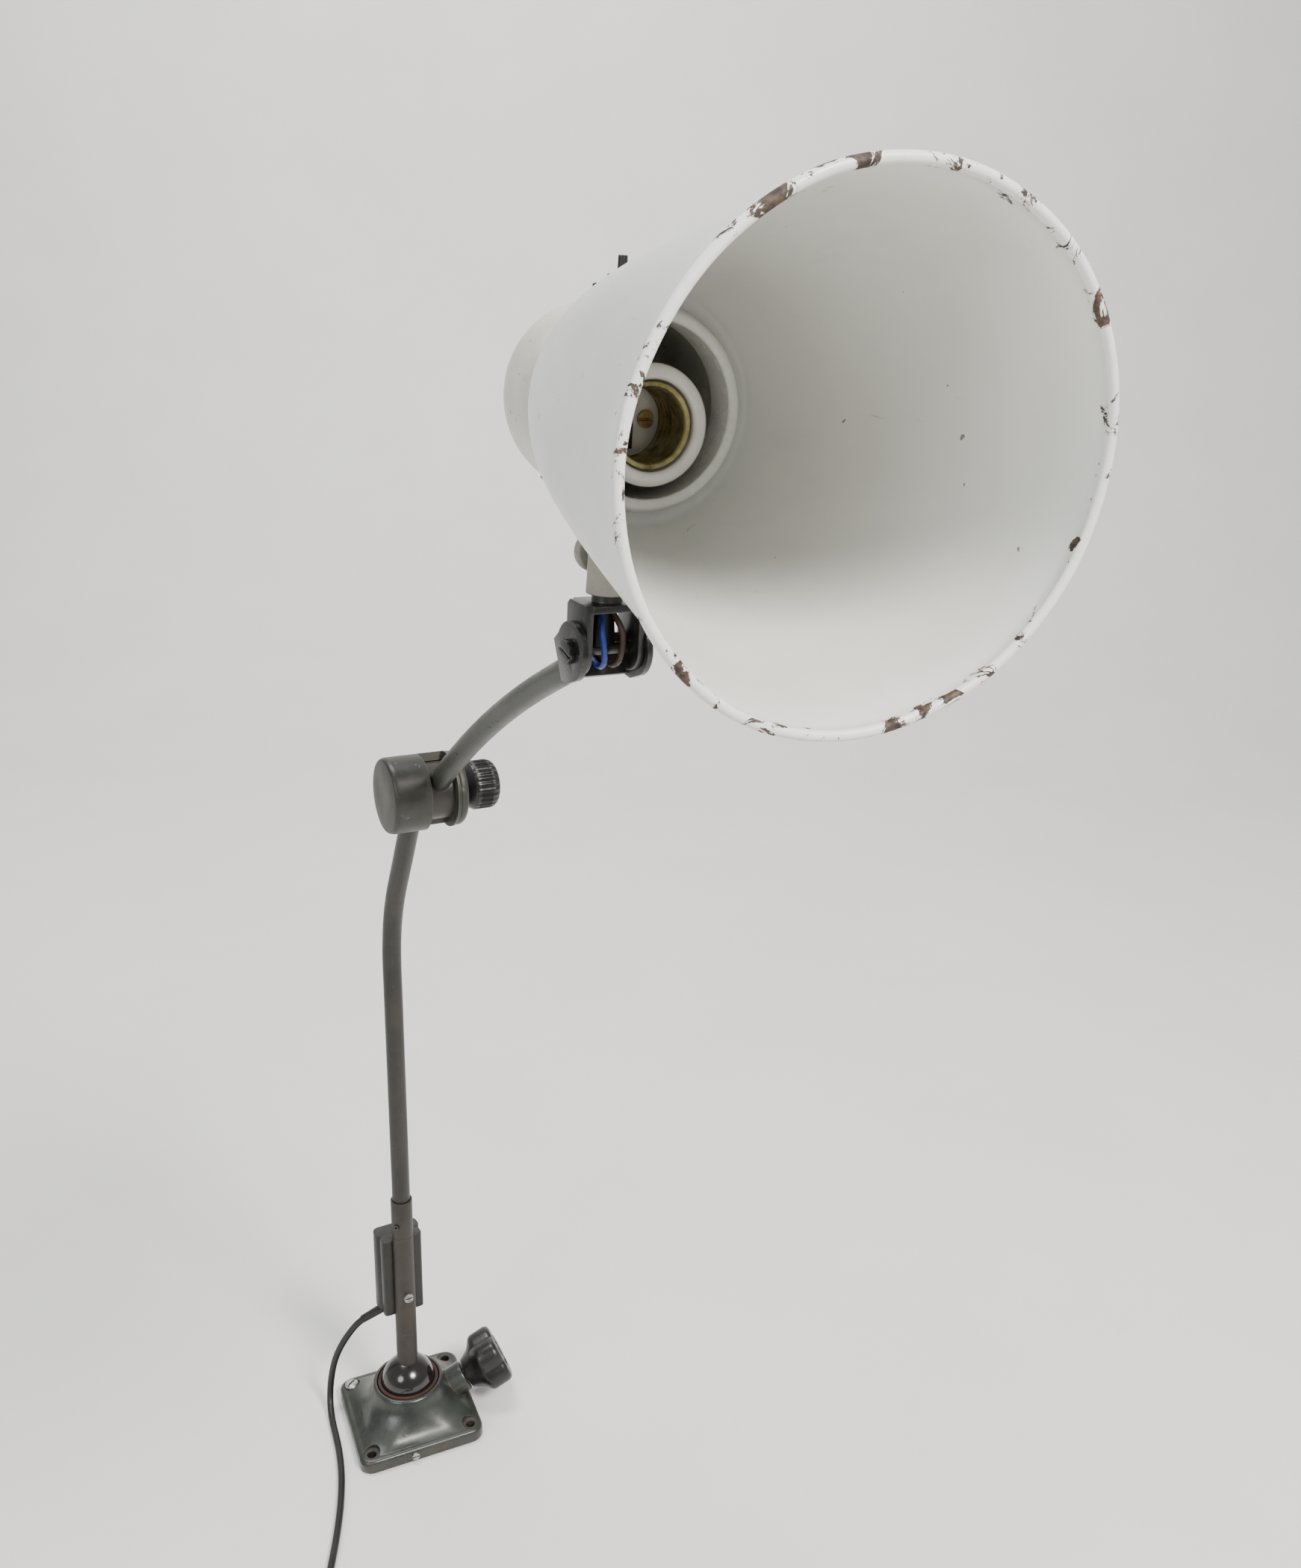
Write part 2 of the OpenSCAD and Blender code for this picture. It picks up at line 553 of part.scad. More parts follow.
module socket_porcelain() {
    color("#f1f0ea") socket_axis() difference() {
        union() {
            translate([0, 0, socket_face - 2]) cylinder(h = 2, r1 = 22, r2 = 20.6);
            disc(22, socket_face - 14, socket_face - 2);
            translate([0, 0, socket_face - 18]) cylinder(h = 4, r1 = 19.4, r2 = 22);
            disc(19.4, -2.15, socket_face - 18);
        }
        disc(16.4, socket_face - 4.5, socket_face + 1);
        disc(14.3, 9, socket_face + 1);
        for (x = [-8.6, 8.6]) translate([x, 0, 0]) disc(1.7, 4, 20);
        disc(2.6, -10, 20);
    }
}
module thread_shell() {
    color("#8f8348") socket_axis() {
        pipe(14, shell_r, 11.2, socket_face - 4.4);
        pipe(15.8, shell_r, socket_face - 4.4, socket_face - 2.6);
    }
}
module centre_contact() {
    color("#2b2622") socket_axis() difference() {
        union() {
            translate([-3.5, -11, 9.02]) cube([7, 13, 1]);
            translate([-2.5, -2, 9.5]) cube([5, 4, 1.4]);
            disc(2.5, 4, 9.1);
        }
        translate([0, -7.4, 0]) disc(1.2, 8, 14);
    }
}
module contact_screws() {
    color("#b39c58") socket_axis() for (x = [-8.6, 8.6]) translate([x, 0, 9.02])
        slotted_screw(3.2, 1.6, 1.6, 4.4);
}
module switch_body() {
    color("#141414") head_frame() translate([0, -switch_s, axis_h]) {
        difference() {
            translate([-9, -9, 15]) cube([18, 18, 16.5]);
            for (x = [-5, 5]) translate([x, 0, 0]) disc(1.2, 10, 22);
        }
        difference() {
            disc(4.8, 31.4, housing_r + 6.4);
            disc(2.9, 33, 50);
        }
    }
}
module switch_washer() {
    color("#8f8f8a") head_frame() translate([0, -switch_s, axis_h])
        pipe(9, 4.95, housing_r + 0.05, housing_r + 1.2);
}
module switch_ring_nut() {
    nut_r = 11;
    color("#121212") head_frame() translate([0, -switch_s, axis_h]) difference() {
        union() {
            disc(nut_r - 0.5, housing_r + 1.3, housing_r + 5.8);
            for (k = [0 : 29]) rotate(12 * k) translate([nut_r - 0.7, 0, housing_r + 1.6])
                cylinder(h = 3.9, r = 0.7);
        }
        disc(4.85, housing_r, housing_r + 8);
    }
}
module switch_key() {
    color("#101010") head_frame() translate([0, -switch_s, axis_h]) rotate(66) {
        disc(2.6, housing_r - 3, housing_r + 6.5);
        disc(5.6, housing_r + 6.7, housing_r + 9.2);
        disc(2.7, housing_r + 6.4, housing_r + 6.8);
        hull() for (x = [-1, 1]) {
            translate([x * 2.6, 0, housing_r + 9.1]) cylinder(h = 0.1, r = 1.9, $fn = 32);
            translate([x * 3.2, 0, housing_r + 15]) cylinder(h = 0.8, r = 1.7, $fn = 32);
        }
    }
}

// ---- mains lead ----
module cord_drop() { color("#101010") swept(drop_pts, cord_r, 8, [0, 0, 1]); }
module cord_lay() { color("#101010") swept(lay_pts, cord_r, 8, [1, 0, 0]); }
module cord_tail() { color("#101010") swept(smooth(tail_pts, 2), cord_r, 8, [0, 0, 1]); }
module cord_coil() {
    in_r = coil_d / 2 - 1.5 * coil_turn;
    color("#101010") translate(coil_at) rotate_extrude() translate([in_r, 0])
        polygon([[1, 0], [3 * coil_turn - 1, 0], [3 * coil_turn, 1], [3 * coil_turn, 3 * coil_turn - 1],
            [3 * coil_turn - 1, 3 * coil_turn], [1, 3 * coil_turn], [0, 3 * coil_turn - 1], [0, 1]]);
}
module cord_tie() {
    tie = 1.2;
    side = 3 * coil_turn;
    color("#30302e") translate(coil_at + [0, coil_d / 2, 0]) difference() {
        translate([-3, -side / 2 - tie, 0]) cube([6, side + 2 * tie, side + tie]);
        translate([-4, -side / 2 - 0.35, -1]) cube([8, side + 0.37, side + 1.02]);
    }
}
module plug_body() {
    color("#151515") translate([plug_x, tail_y, plug_z]) rotate([0, 90, 0]) difference() {
        union() {
            cylinder(h = 20, r1 = 3.4, r2 = 6);
            translate([0, 0, 20]) cylinder(h = 14, r1 = 8, r2 = 18);
            disc(18.6, 34, 52);
        }
        disc(cord_r + 0.02, -1, 10);
        for (y = [-9.5, 9.5]) translate([0, y, 0]) disc(2.42, 40, 60);
    }
}
module plug_pins() {
    color("#c8c8c4") translate([plug_x, tail_y, plug_z]) rotate([0, 90, 0])
        for (y = [-9.5, 9.5]) translate([0, y, 0]) {
            disc(2.4, 42, 69);
            translate([0, 0, 69]) cylinder(h = 1.5, r1 = 2.4, r2 = 1.2);
        }
}

base_casting();
earth_screw();
clamp_pad();
base_knob();
base_knob_stud();
ball_seat();
swivel_ball();
stem_sleeve();
sleeve_collar();
arm_set_screw();
box_saddle();
box_cover();
box_screw();
terminal_block();
terminal_screws();
cord_relief();
lower_arm_tube();
elbow_housing();
elbow_end_ring();
elbow_washers();
elbow_stud();
elbow_knob();
elbow_hub();
upper_arm_tube();
arm_fork();
pivot_screw();
pivot_nut();
clevis_wire_blue();
clevis_wire_brown();
head_yoke();
swivel_stud();
head_bracket();
bracket_screws();
thumb_screw();
lamp_housing();
shade();
retaining_ring();
socket_carrier();
socket_porcelain();
thread_shell();
centre_contact();
contact_screws();
switch_body();
switch_washer();
switch_ring_nut();
switch_key();
cord_drop();
cord_lay();
cord_coil();
cord_tail();
cord_tie();
plug_body();
plug_pins();
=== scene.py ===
"""Looks of the swing arm desk lamp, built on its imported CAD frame. Lengths are in millimetres
in the local frames below, and become metres in the meshes."""
import json
from math import cos, pi, radians, sin, sqrt
import bmesh
import bpy
from mathutils import Matrix, Vector


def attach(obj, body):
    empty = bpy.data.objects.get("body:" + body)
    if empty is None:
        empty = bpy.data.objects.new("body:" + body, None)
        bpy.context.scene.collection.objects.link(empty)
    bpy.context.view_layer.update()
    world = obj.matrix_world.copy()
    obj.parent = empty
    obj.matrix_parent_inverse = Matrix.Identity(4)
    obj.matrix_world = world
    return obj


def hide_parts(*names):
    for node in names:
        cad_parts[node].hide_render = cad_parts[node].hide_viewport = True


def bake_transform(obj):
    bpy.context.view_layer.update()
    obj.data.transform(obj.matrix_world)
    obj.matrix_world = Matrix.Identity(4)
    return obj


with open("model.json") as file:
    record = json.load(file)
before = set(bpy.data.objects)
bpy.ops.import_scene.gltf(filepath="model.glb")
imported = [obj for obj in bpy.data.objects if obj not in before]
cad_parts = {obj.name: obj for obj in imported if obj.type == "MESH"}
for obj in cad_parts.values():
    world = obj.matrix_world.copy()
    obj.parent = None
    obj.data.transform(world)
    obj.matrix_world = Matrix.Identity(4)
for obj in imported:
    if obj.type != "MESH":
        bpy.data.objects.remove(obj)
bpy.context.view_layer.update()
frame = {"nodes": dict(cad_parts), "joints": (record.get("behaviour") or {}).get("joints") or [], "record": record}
nodes = frame["nodes"]
joints = {j["name"]: j for j in frame["joints"]}
MM = 0.001

# ---------------------------------------------------------------- frames
def frame_at(origin, x, z):
    """A frame at a point in metres, with the given x and z directions, in millimetres."""
    z = Vector(z).normalized()
    y = z.cross(Vector(x)).normalized()
    turn = Matrix((y.cross(z), y, z)).transposed().to_4x4()
    return Matrix.Translation(Vector(origin)) @ turn @ Matrix.Scale(MM, 4)


def moved(base, x=0, y=0, z=0):
    return base @ Matrix.Translation((x, y, z))


def turned(base, angle, axis):
    return base @ Matrix.Rotation(radians(angle), 4, axis)


def joint_axis(name):
    return Vector(joints[name]["axis"])


BALL_Z = 31.5
AXIS_H = 97.4
SOCKET_DROP = 5
ROW = Matrix.Scale(MM, 4)
ELBOW = frame_at(joints["elbow"]["pos_m"], joint_axis("head_tilt"), joint_axis("arm_swivel"))
PIN = frame_at(joints["head_tilt"]["pos_m"], joint_axis("head_tilt"), joint_axis("arm_swivel"))
HEAD = frame_at(joints["head_tilt"]["pos_m"], joint_axis("thumb_screw_turn").cross(
    joint_axis("head_swivel")), joint_axis("head_swivel"))
SHADE = turned(moved(HEAD, z=AXIS_H), 90, "X")
SOCKET = turned(moved(HEAD, z=AXIS_H - SOCKET_DROP), 90, "X")
CLAMP = frame_at(joints["base_knob_turn"]["pos_m"], (0.3746, 0, -0.9272),
                 joint_axis("base_knob_turn"))

# ---------------------------------------------------------------- camera
camera = bpy.data.objects.new("camera", bpy.data.cameras.new("camera"))
bpy.context.scene.collection.objects.link(camera)
bpy.context.scene.camera = camera
HEADING = -23.4
LOOK_DOWN = 17.5
camera.data.lens = 29.9
camera.data.clip_start = 0.02
camera.location = (-0.142, -0.761, 0.712)
camera.rotation_euler = (radians(90 - LOOK_DOWN), 0, radians(HEADING))


# ---------------------------------------------------------------- mesh helpers
def piece(name, mesh, place, body, material, smooth=35):
    """Puts a mesh drawn in a local frame into the row frame, on a body, with its material."""
    obj = bpy.data.objects.new(name, mesh)
    bpy.context.scene.collection.objects.link(obj)
    mesh.transform(Matrix.Scale(MM, 4))
    obj.matrix_world = place @ Matrix.Scale(1 / MM, 4)
    mesh.shade_smooth()
    mesh.set_sharp_from_angle(angle=radians(smooth))
    mesh.materials.clear()
    mesh.materials.append(material)
    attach(obj, body)
    return obj


def from_bmesh(name, bm):
    bmesh.ops.remove_doubles(bm, verts=bm.verts, dist=1e-4)
    bmesh.ops.recalc_face_normals(bm, faces=bm.faces)
    mesh = bpy.data.meshes.new(name)
    bm.to_mesh(mesh)
    bm.free()
    return mesh


def fillet(points, steps=5):
    """A closed outline with its corners rounded: each point is (x, y) or (x, y, radius)."""
    out = []
    n = len(points)
    for i, p in enumerate(points):
        here = Vector(p[:2])
        radius = p[2] if len(p) > 2 else 0
        if radius <= 0:
            out.append(tuple(here))
            continue
        a = Vector(points[i - 1][:2]) - here
        b = Vector(points[(i + 1) % n][:2]) - here
        reach = min(radius, 0.49 * a.length, 0.49 * b.length)
        a.normalize()
        b.normalize()
        for k in range(steps + 1):
            t = k / steps
            out.append(tuple(here + a * reach * (1 - t) ** 2 + b * reach * t ** 2))
    return out


def loft(name, rings, closed_profile=False):
    """A skin over rings of equal length; the ends are capped, or joined for a closed profile."""
    bm = bmesh.new()
    rows = [[bm.verts.new(p) for p in ring] for ring in rings]
    pairs = list(zip(rows, rows[1:]))
    if closed_profile:
        pairs.append((rows[-1], rows[0]))
    for low, high in pairs:
        for k in range(len(low)):
            m = (k + 1) % len(low)
            bm.faces.new((low[k], low[m], high[m], high[k]))
    if not closed_profile:
        bm.faces.new(rows[0])
        bm.faces.new(rows[-1])
    return from_bmesh(name, bm)


def lathe(name, outline, steps=96, shape=None):
    """A closed outline of (r, z) turned about z; shape(angle, r, z) may move each point."""
    rings = []
    for r, z in outline:
        ring = []
        for k in range(steps):
            a = 2 * pi * k / steps
            rr, zz = shape(a, r, z) if shape else (r, z)
            ring.append((rr * cos(a), rr * sin(a), zz))
        rings.append(ring)
    return loft(name, rings, closed_profile=True)


def prism(name, outline, z0, z1, edge=0.6):
    """An outline of (x, y) pulled up from z0 to z1, its top and bottom edges bevelled."""
    bm = bmesh.new()
    low = [bm.verts.new((x, y, z0)) for x, y in outline]
    high = [bm.verts.new((x, y, z1)) for x, y in outline]
    for k in range(len(outline)):
        m = (k + 1) % len(outline)
        bm.faces.new((low[k], low[m], high[m], high[k]))
    ends = [bm.faces.new(low), bm.faces.new(high)]
    rims = [e for f in ends for e in f.edges]
    bmesh.ops.recalc_face_normals(bm, faces=bm.faces)
    if edge > 0:
        bmesh.ops.bevel(bm, geom=rims, offset=edge, segments=3, profile=0.6, affect="EDGES")
    return from_bmesh(name, bm)


def joined(name, *parts):
    """One mesh from several (mesh, matrix) pairs."""
    bm = bmesh.new()
    for mesh, place in parts:
        mesh.transform(place)
        bm.from_mesh(mesh)
    bmesh.ops.recalc_face_normals(bm, faces=bm.faces)
    mesh = bpy.data.meshes.new(name)
    bm.to_mesh(mesh)
    bm.free()
    return mesh


def cut(mesh, *cutters):
    """The mesh with the (cutter mesh, matrix) pairs taken out of it."""
    body = bpy.data.objects.new("cut_body", mesh)
    bpy.context.scene.collection.objects.link(body)
    for tool_mesh, place in cutters:
        tool = bpy.data.objects.new("cutter", tool_mesh)
        bpy.context.scene.collection.objects.link(tool)
        tool.matrix_world = place
        bpy.context.view_layer.update()
        boolean = body.modifiers.new("cut", "BOOLEAN")
        boolean.operation = "DIFFERENCE"
        boolean.solver = "EXACT"
        boolean.object = tool
        made = bpy.data.meshes.new_from_object(body.evaluated_get(
            bpy.context.evaluated_depsgraph_get()))
        body.modifiers.clear()
        body.data = made
        bpy.data.objects.remove(tool)
    result = body.data
    bpy.data.objects.remove(body)
    return result


def rod(r, z0, z1, steps=48):
    return prism("rod", [(r * cos(2 * pi * k / steps), r * sin(2 * pi * k / steps))
                         for k in range(steps)], z0, z1, edge=0)


def block(x0, x1, y0, y1, z0, z1, edge=0):
    return prism("block", [(x0, y0), (x1, y0), (x1, y1), (x0, y1)], z0, z1, edge)


def smooth_path(points, per=6):
    """Catmull-Rom points through a given route."""
    pts = [Vector(p) for p in points]
    pts = [2 * pts[0] - pts[1]] + pts + [2 * pts[-1] - pts[-2]]
    out = []
    for i in range(1, len(pts) - 2):
        a, b, c, d = pts[i - 1:i + 3]
        for k in range(per):
            t = k / per
            out.append(0.5 * (2 * b + (c - a) * t + (2 * a - 5 * b + 4 * c - d) * t * t
                              + (3 * b - a - 3 * c + d) * t ** 3))
    return out + [pts[-2]]


def sweep(name, path, radius, sides=16, flat=1.0):
    """A tube along a path; radius is a number, or a function of the share of the way."""
    bm = bmesh.new()
    rows = []
    side = None
    for i, p in enumerate(path):
        ahead = (path[min(i + 1, len(path) - 1)] - path[max(i - 1, 0)]).normalized()
        if side is None:
            side = ahead.orthogonal()
        side = (side - side.dot(ahead) * ahead).normalized()
        up = ahead.cross(side)
        r = radius(i / (len(path) - 1)) if callable(radius) else radius
        rows.append([bm.verts.new(p + r * (side * cos(2 * pi * k / sides)
                                           + up * flat * sin(2 * pi * k / sides)))
                     for k in range(sides)])
    for low, high in zip(rows, rows[1:]):
        for k in range(sides):
            m = (k + 1) % sides
            bm.faces.new((low[k], low[m], high[m], high[k]))
    bm.faces.new(rows[0])
    bm.faces.new(rows[-1])
    return from_bmesh(name, bm)


# ---------------------------------------------------------------- material helpers
class Surface:
    """A node material: small calls that return sockets, so a recipe reads from top to bottom."""

    def __init__(self, name):
        self.material = bpy.data.materials.new(name)
        self.material.use_nodes = True
        self.tree = self.material.node_tree
        self.shader = self.tree.nodes["Principled BSDF"]
        self.coords = self.tree.nodes.new("ShaderNodeTexCoord").outputs["Object"]

    def put(self, node, name, value):
        socket = node.inputs[name] if isinstance(name, (str, int)) else name
        if isinstance(value, bpy.types.NodeSocket):
            self.tree.links.new(value, socket)
        elif value is not None:
            if isinstance(value, tuple) and len(value) == 3 and socket.type == "RGBA":
                value = (*value, 1)
            socket.default_value = value

    def noise(self, scale, detail=3, rough=0.6, stretch=None, distortion=0.0):
        node = self.tree.nodes.new("ShaderNodeTexNoise")
        self.put(node, "Vector", self.stretched(stretch) if stretch else self.coords)
        self.put(node, "Scale", float(scale))
        self.put(node, "Detail", float(detail))
        self.put(node, "Roughness", rough)
        self.put(node, "Distortion", distortion)
        return node.outputs["Fac"]

    def stretched(self, scale):
        node = self.tree.nodes.new("ShaderNodeMapping")
        self.put(node, "Vector", self.coords)
        self.put(node, "Scale", scale)
        return node.outputs["Vector"]

    def cells(self, scale):
        node = self.tree.nodes.new("ShaderNodeTexVoronoi")
        self.put(node, "Vector", self.coords)
        self.put(node, "Scale", float(scale))
        return node.outputs["Distance"]

    def math(self, kind, a, b=0.0, c=None):
        node = self.tree.nodes.new("ShaderNodeMath")
        node.operation = kind
        self.put(node, 0, a)
        self.put(node, 1, b)
        if c is not None:
            self.put(node, 2, c)
        return node.outputs[0]

    def step(self, value, low, high, top=1.0):
        """0 below low and top above high, smooth between; low may be the larger."""
        node = self.tree.nodes.new("ShaderNodeMapRange")
        node.interpolation_type = "SMOOTHSTEP"
        self.put(node, "Value", value)
        flip = low > high
        self.put(node, "From Min", high if flip else low)
        self.put(node, "From Max", low if flip else high)
        self.put(node, "To Min", top if flip else 0.0)
        self.put(node, "To Max", 0.0 if flip else top)
        return node.outputs["Result"]

    def both(self, a, b):
        return self.math("MULTIPLY", a, b)

    def either(self, a, b):
        return self.math("MAXIMUM", a, b)

    def mix(self, amount, a, b):
        node = self.tree.nodes.new("ShaderNodeMix")
        node.data_type = "RGBA"
        self.put(node, node.inputs["Factor"], amount)
        sockets = [s for s in node.inputs if s.type == "RGBA"]
        self.put(node, sockets[0], a)
        self.put(node, sockets[1], b)
        return [s for s in node.outputs if s.type == "RGBA"][0]

    def along_z(self):
        node = self.tree.nodes.new("ShaderNodeSeparateXYZ")
        self.put(node, 0, self.coords)
        return node.outputs["Z"]

    def edges(self, width=0.0012, low=0.02, high=0.25):
        """Where the surface bends sharply outwards or inwards within that width, in metres."""
        bevel = self.tree.nodes.new("ShaderNodeBevel")
        bevel.samples = 6
        self.put(bevel, "Radius", width)
        flat = self.tree.nodes.new("ShaderNodeNewGeometry").outputs["Normal"]
        node = self.tree.nodes.new("ShaderNodeVectorMath")
        node.operation = "DOT_PRODUCT"
        self.put(node, 0, bevel.outputs["Normal"])
        self.put(node, 1, flat)
        return self.step(self.math("SUBTRACT", 1.0, node.outputs["Value"]), low, high)

    def crevice(self, distance=0.01):
        # Painted shade: this mask is 1 in the corners and recesses where ambient occlusion finds shade, and
        # colours mixed darker with it paint that shade in
        node = self.tree.nodes.new("ShaderNodeAmbientOcclusion")
        node.samples = 6
        self.put(node, "Distance", distance)
        return self.step(node.outputs["AO"], 0.85, 0.35)

    def finish(self, colour, rough, bumps=(), metallic=0.0, coat=0.0, round_edges=0.0004,
               coat_rough=0.15, specular=0.5):
        """bumps are (height socket, strength, distance in metres)."""
        normal = None
        if round_edges > 0:
            bevel = self.tree.nodes.new("ShaderNodeBevel")
            bevel.samples = 6
            self.put(bevel, "Radius", round_edges)
            normal = bevel.outputs["Normal"]
        for height, strength, distance in bumps:
            node = self.tree.nodes.new("ShaderNodeBump")
            self.put(node, "Height", height)
            self.put(node, "Strength", strength)
            self.put(node, "Distance", distance)
            if normal is not None:
                self.put(node, "Normal", normal)
            normal = node.outputs["Normal"]
        self.put(self.shader, "Base Color", colour)
        self.put(self.shader, "Roughness", rough)
        self.put(self.shader, "Metallic", metallic)
        self.put(self.shader, "Coat Weight", coat)
        self.put(self.shader, "Coat Roughness", coat_rough)
        self.put(self.shader, "Specular IOR Level", specular)
        if normal is not None:
            self.put(self.shader, "Normal", normal)
        return self.material


# ---------------------------------------------------------------- materials
def enamel(name, main, second, under, wear=0.5, crevice_shade=0.3, rough=0.35, coat=0.0, bump=0.15,
           spots=0.0, dirt_and_shade=(0.03, 0.026, 0.02), grain=1.0):
    """Paint over metal: two close tones, worn edges, painted shade in the corners, fine scratches."""
    s = Surface(name)
    broad = s.noise(38 * grain, 5)
    fine = s.noise(420 * grain, 4, 0.7)
    colour = s.mix(s.step(broad, 0.36, 0.66), main, second)
    worn = s.both(s.edges(), s.step(s.noise(160 * grain, 6, 0.75),
                                    0.62 - 0.3 * wear, 0.7 - 0.3 * wear))
    rubbed = s.step(s.noise(70 * grain, 8, 0.8, distortion=1.2),
                    0.67 - 0.08 * wear, 0.70 - 0.08 * wear)
    chipped = s.either(worn, s.both(rubbed, wear))
    if spots > 0:
        chipped = s.either(chipped, s.step(s.noise(210, 4, 0.7),
                                           0.72 - 0.10 * spots, 0.74 - 0.10 * spots))
    scratch = s.step(s.noise(90, 4, 0.6, stretch=(1, 9, 2), distortion=0.4), 0.66, 0.7)
    # Painted shade: the colour goes darker in the corners and recesses that ambient occlusion finds
    colour = s.mix(s.both(s.crevice(), crevice_shade), colour, dirt_and_shade)
    colour = s.mix(s.both(scratch, 0.12), colour, tuple(min(1, 2.2 * c + 0.03) for c in main))
    colour = s.mix(s.both(s.step(fine, 0.3, 0.75), 0.10), colour, dirt_and_shade)
    colour = s.mix(chipped, colour, under)
    roughness = s.math("ADD", s.both(s.step(broad, 0.3, 0.7), 0.16), rough)
    roughness = s.math("ADD", roughness, s.both(chipped, 0.25))
    lift = s.math("SUBTRACT", fine, s.both(chipped, 0.8))
    return s.finish(colour, roughness, [(lift, bump, 0.0003), (scratch, -0.08, 0.0002)], coat=coat)


def bare_metal(name, colour, dark, rough=0.32, crevice_shade=0.4):
    s = Surface(name)
    broad = s.noise(120, 5)
    fine = s.noise(900, 3, 0.6, stretch=(1, 6, 1))
    tone = s.mix(s.step(broad, 0.35, 0.7), colour, dark)
    # Painted shade: the tone goes darker in the small recesses that ambient occlusion finds
    tone = s.mix(s.both(s.crevice(0.004), crevice_shade), tone, (0.02, 0.016, 0.012))
    return s.finish(tone, s.math("ADD", s.both(broad, 0.3), rough - 0.1), [(fine, 0.12, 0.0002)],
                    metallic=0.9)


def plastic(name, colour, dust=(0.16, 0.15, 0.14), dusty=0.35, rough=0.35, grain=0.12):
    """Moulded plastic or rubber with dust on what faces up and in its corners."""
    s = Surface(name)
    broad = s.noise(60, 5)
    fine = s.noise(700, 4, 0.7)
    up = s.tree.nodes.new("ShaderNodeSeparateXYZ")
    s.put(up, 0, s.tree.nodes.new("ShaderNodeNewGeometry").outputs["Normal"])
    lying = s.both(s.step(up.outputs["Z"], 0.1, 1.0), s.step(s.noise(140, 6, 0.75), 0.4, 0.7))
    edge = s.both(s.edges(0.0015), s.step(s.noise(200, 5), 0.42, 0.6))
    tone = s.mix(s.step(broad, 0.35, 0.7), colour, tuple(1.7 * c + 0.004 for c in colour))
    tone = s.mix(s.both(s.either(lying, edge), dusty), tone, dust)
    return s.finish(tone, s.math("ADD", s.both(broad, 0.25), rough), [(fine, grain, 0.0002)])


def base_paint():
    """Dark stove enamel with brown rust along the skirt's edges and a dusty flange."""
    s = Surface("base_enamel")
    z = s.along_z()
    broad = s.noise(45, 6, 0.65)
    fine = s.noise(520, 5, 0.75)
    rust_noise = s.noise(130, 7, 0.75, distortion=0.8)
    low = s.step(z, 0.012, 0.006)
    edge = s.edges(0.0022, 0.01, 0.16)
    rust = s.either(s.both(edge, s.step(rust_noise, 0.44, 0.56)),
                    s.both(low, s.step(rust_noise, 0.52, 0.66)))
    colour = s.mix(s.step(broad, 0.36, 0.64), (0.014, 0.017, 0.014), (0.028, 0.032, 0.026))
    # Painted shade: the enamel goes darker in the corners and recesses that ambient occlusion finds
    colour = s.mix(s.both(s.crevice(0.012), 0.5), colour, (0.012, 0.010, 0.008))
    colour = s.mix(s.both(rust, 0.85), colour, (0.062, 0.036, 0.020))
    rubbed = s.both(edge, s.step(s.noise(300, 6, 0.8), 0.6, 0.66))
    colour = s.mix(s.both(rubbed, 0.75), colour, (0.19, 0.19, 0.18))
    specks = s.step(s.cells(420), 0.10, 0.05)
    colour = s.mix(s.both(specks, s.both(s.step(broad, 0.5, 0.62), 0.5)), colour, (0.16, 0.15, 0.13))
    roughness = s.math("ADD", s.both(s.step(s.noise(24, 4), 0.35, 0.7), 0.20), 0.27)
    roughness = s.math("ADD", roughness, s.both(rust, 0.3))
    return s.finish(colour, roughness, [(fine, 0.22, 0.0003), (s.noise(110, 3), 0.25, 0.0008)],
                    coat=0.25, coat_rough=0.3)


def shade_paint(name, main, lip):
    """White enamel in the shade's own frame, where z runs from the neck to the mouth."""
    s = Surface(name)
    z = s.along_z()
    broad = s.noise(14, 5, 0.6)
    fine = s.noise(300, 5, 0.7)
    smear = s.noise(26, 6, 0.65, stretch=(1, 1, 0.35), distortion=0.6)
    colour = s.mix(s.step(broad, 0.35, 0.68), main, tuple(c * 0.93 for c in main))
    colour = s.mix(s.both(s.step(smear, 0.55, 0.75), 0.22), colour, tuple(c * 0.70 for c in main))
    scuff = s.step(s.noise(60, 9, 0.72, stretch=(1, 1, 0.22), distortion=2.0), 0.66, 0.70)
    colour = s.mix(s.both(scuff, 0.5), colour, (0.22, 0.22, 0.22))
    dots = s.step(s.noise(210, 2, 0.5), 0.765, 0.785)
    colour = s.mix(s.both(dots, 0.8), colour, (0.05, 0.04, 0.035))
    chip = s.both(dots, 0.6)
    near = s.step(z, lip - 0.0045, lip - 0.0008)
    edge_noise = s.noise(75, 7, 0.72, distortion=0.8)
    brink = s.step(s.math("ADD", edge_noise, s.both(near, 0.12)), 0.665, 0.685)
    brink = s.both(brink, s.step(z, lip - 0.006, lip - 0.003))
    chip = s.either(chip, brink)
    colour = s.mix(s.both(s.step(z, lip - 0.022, lip), 0.5), colour, (0.80, 0.80, 0.78))
    rust = s.mix(s.step(fine, 0.4, 0.6), (0.022, 0.014, 0.010), (0.085, 0.050, 0.032))
    colour = s.mix(brink, colour, rust)
    roughness = s.math("ADD", s.both(s.step(smear, 0.3, 0.7), 0.15), 0.30)
    return s.finish(colour, s.math("ADD", roughness, s.both(chip, 0.3)),
                    [(fine, 0.10, 0.0002), (s.noise(9, 3), 0.22, 0.004), (chip, -0.5, 0.0006)],
                    round_edges=0.0)


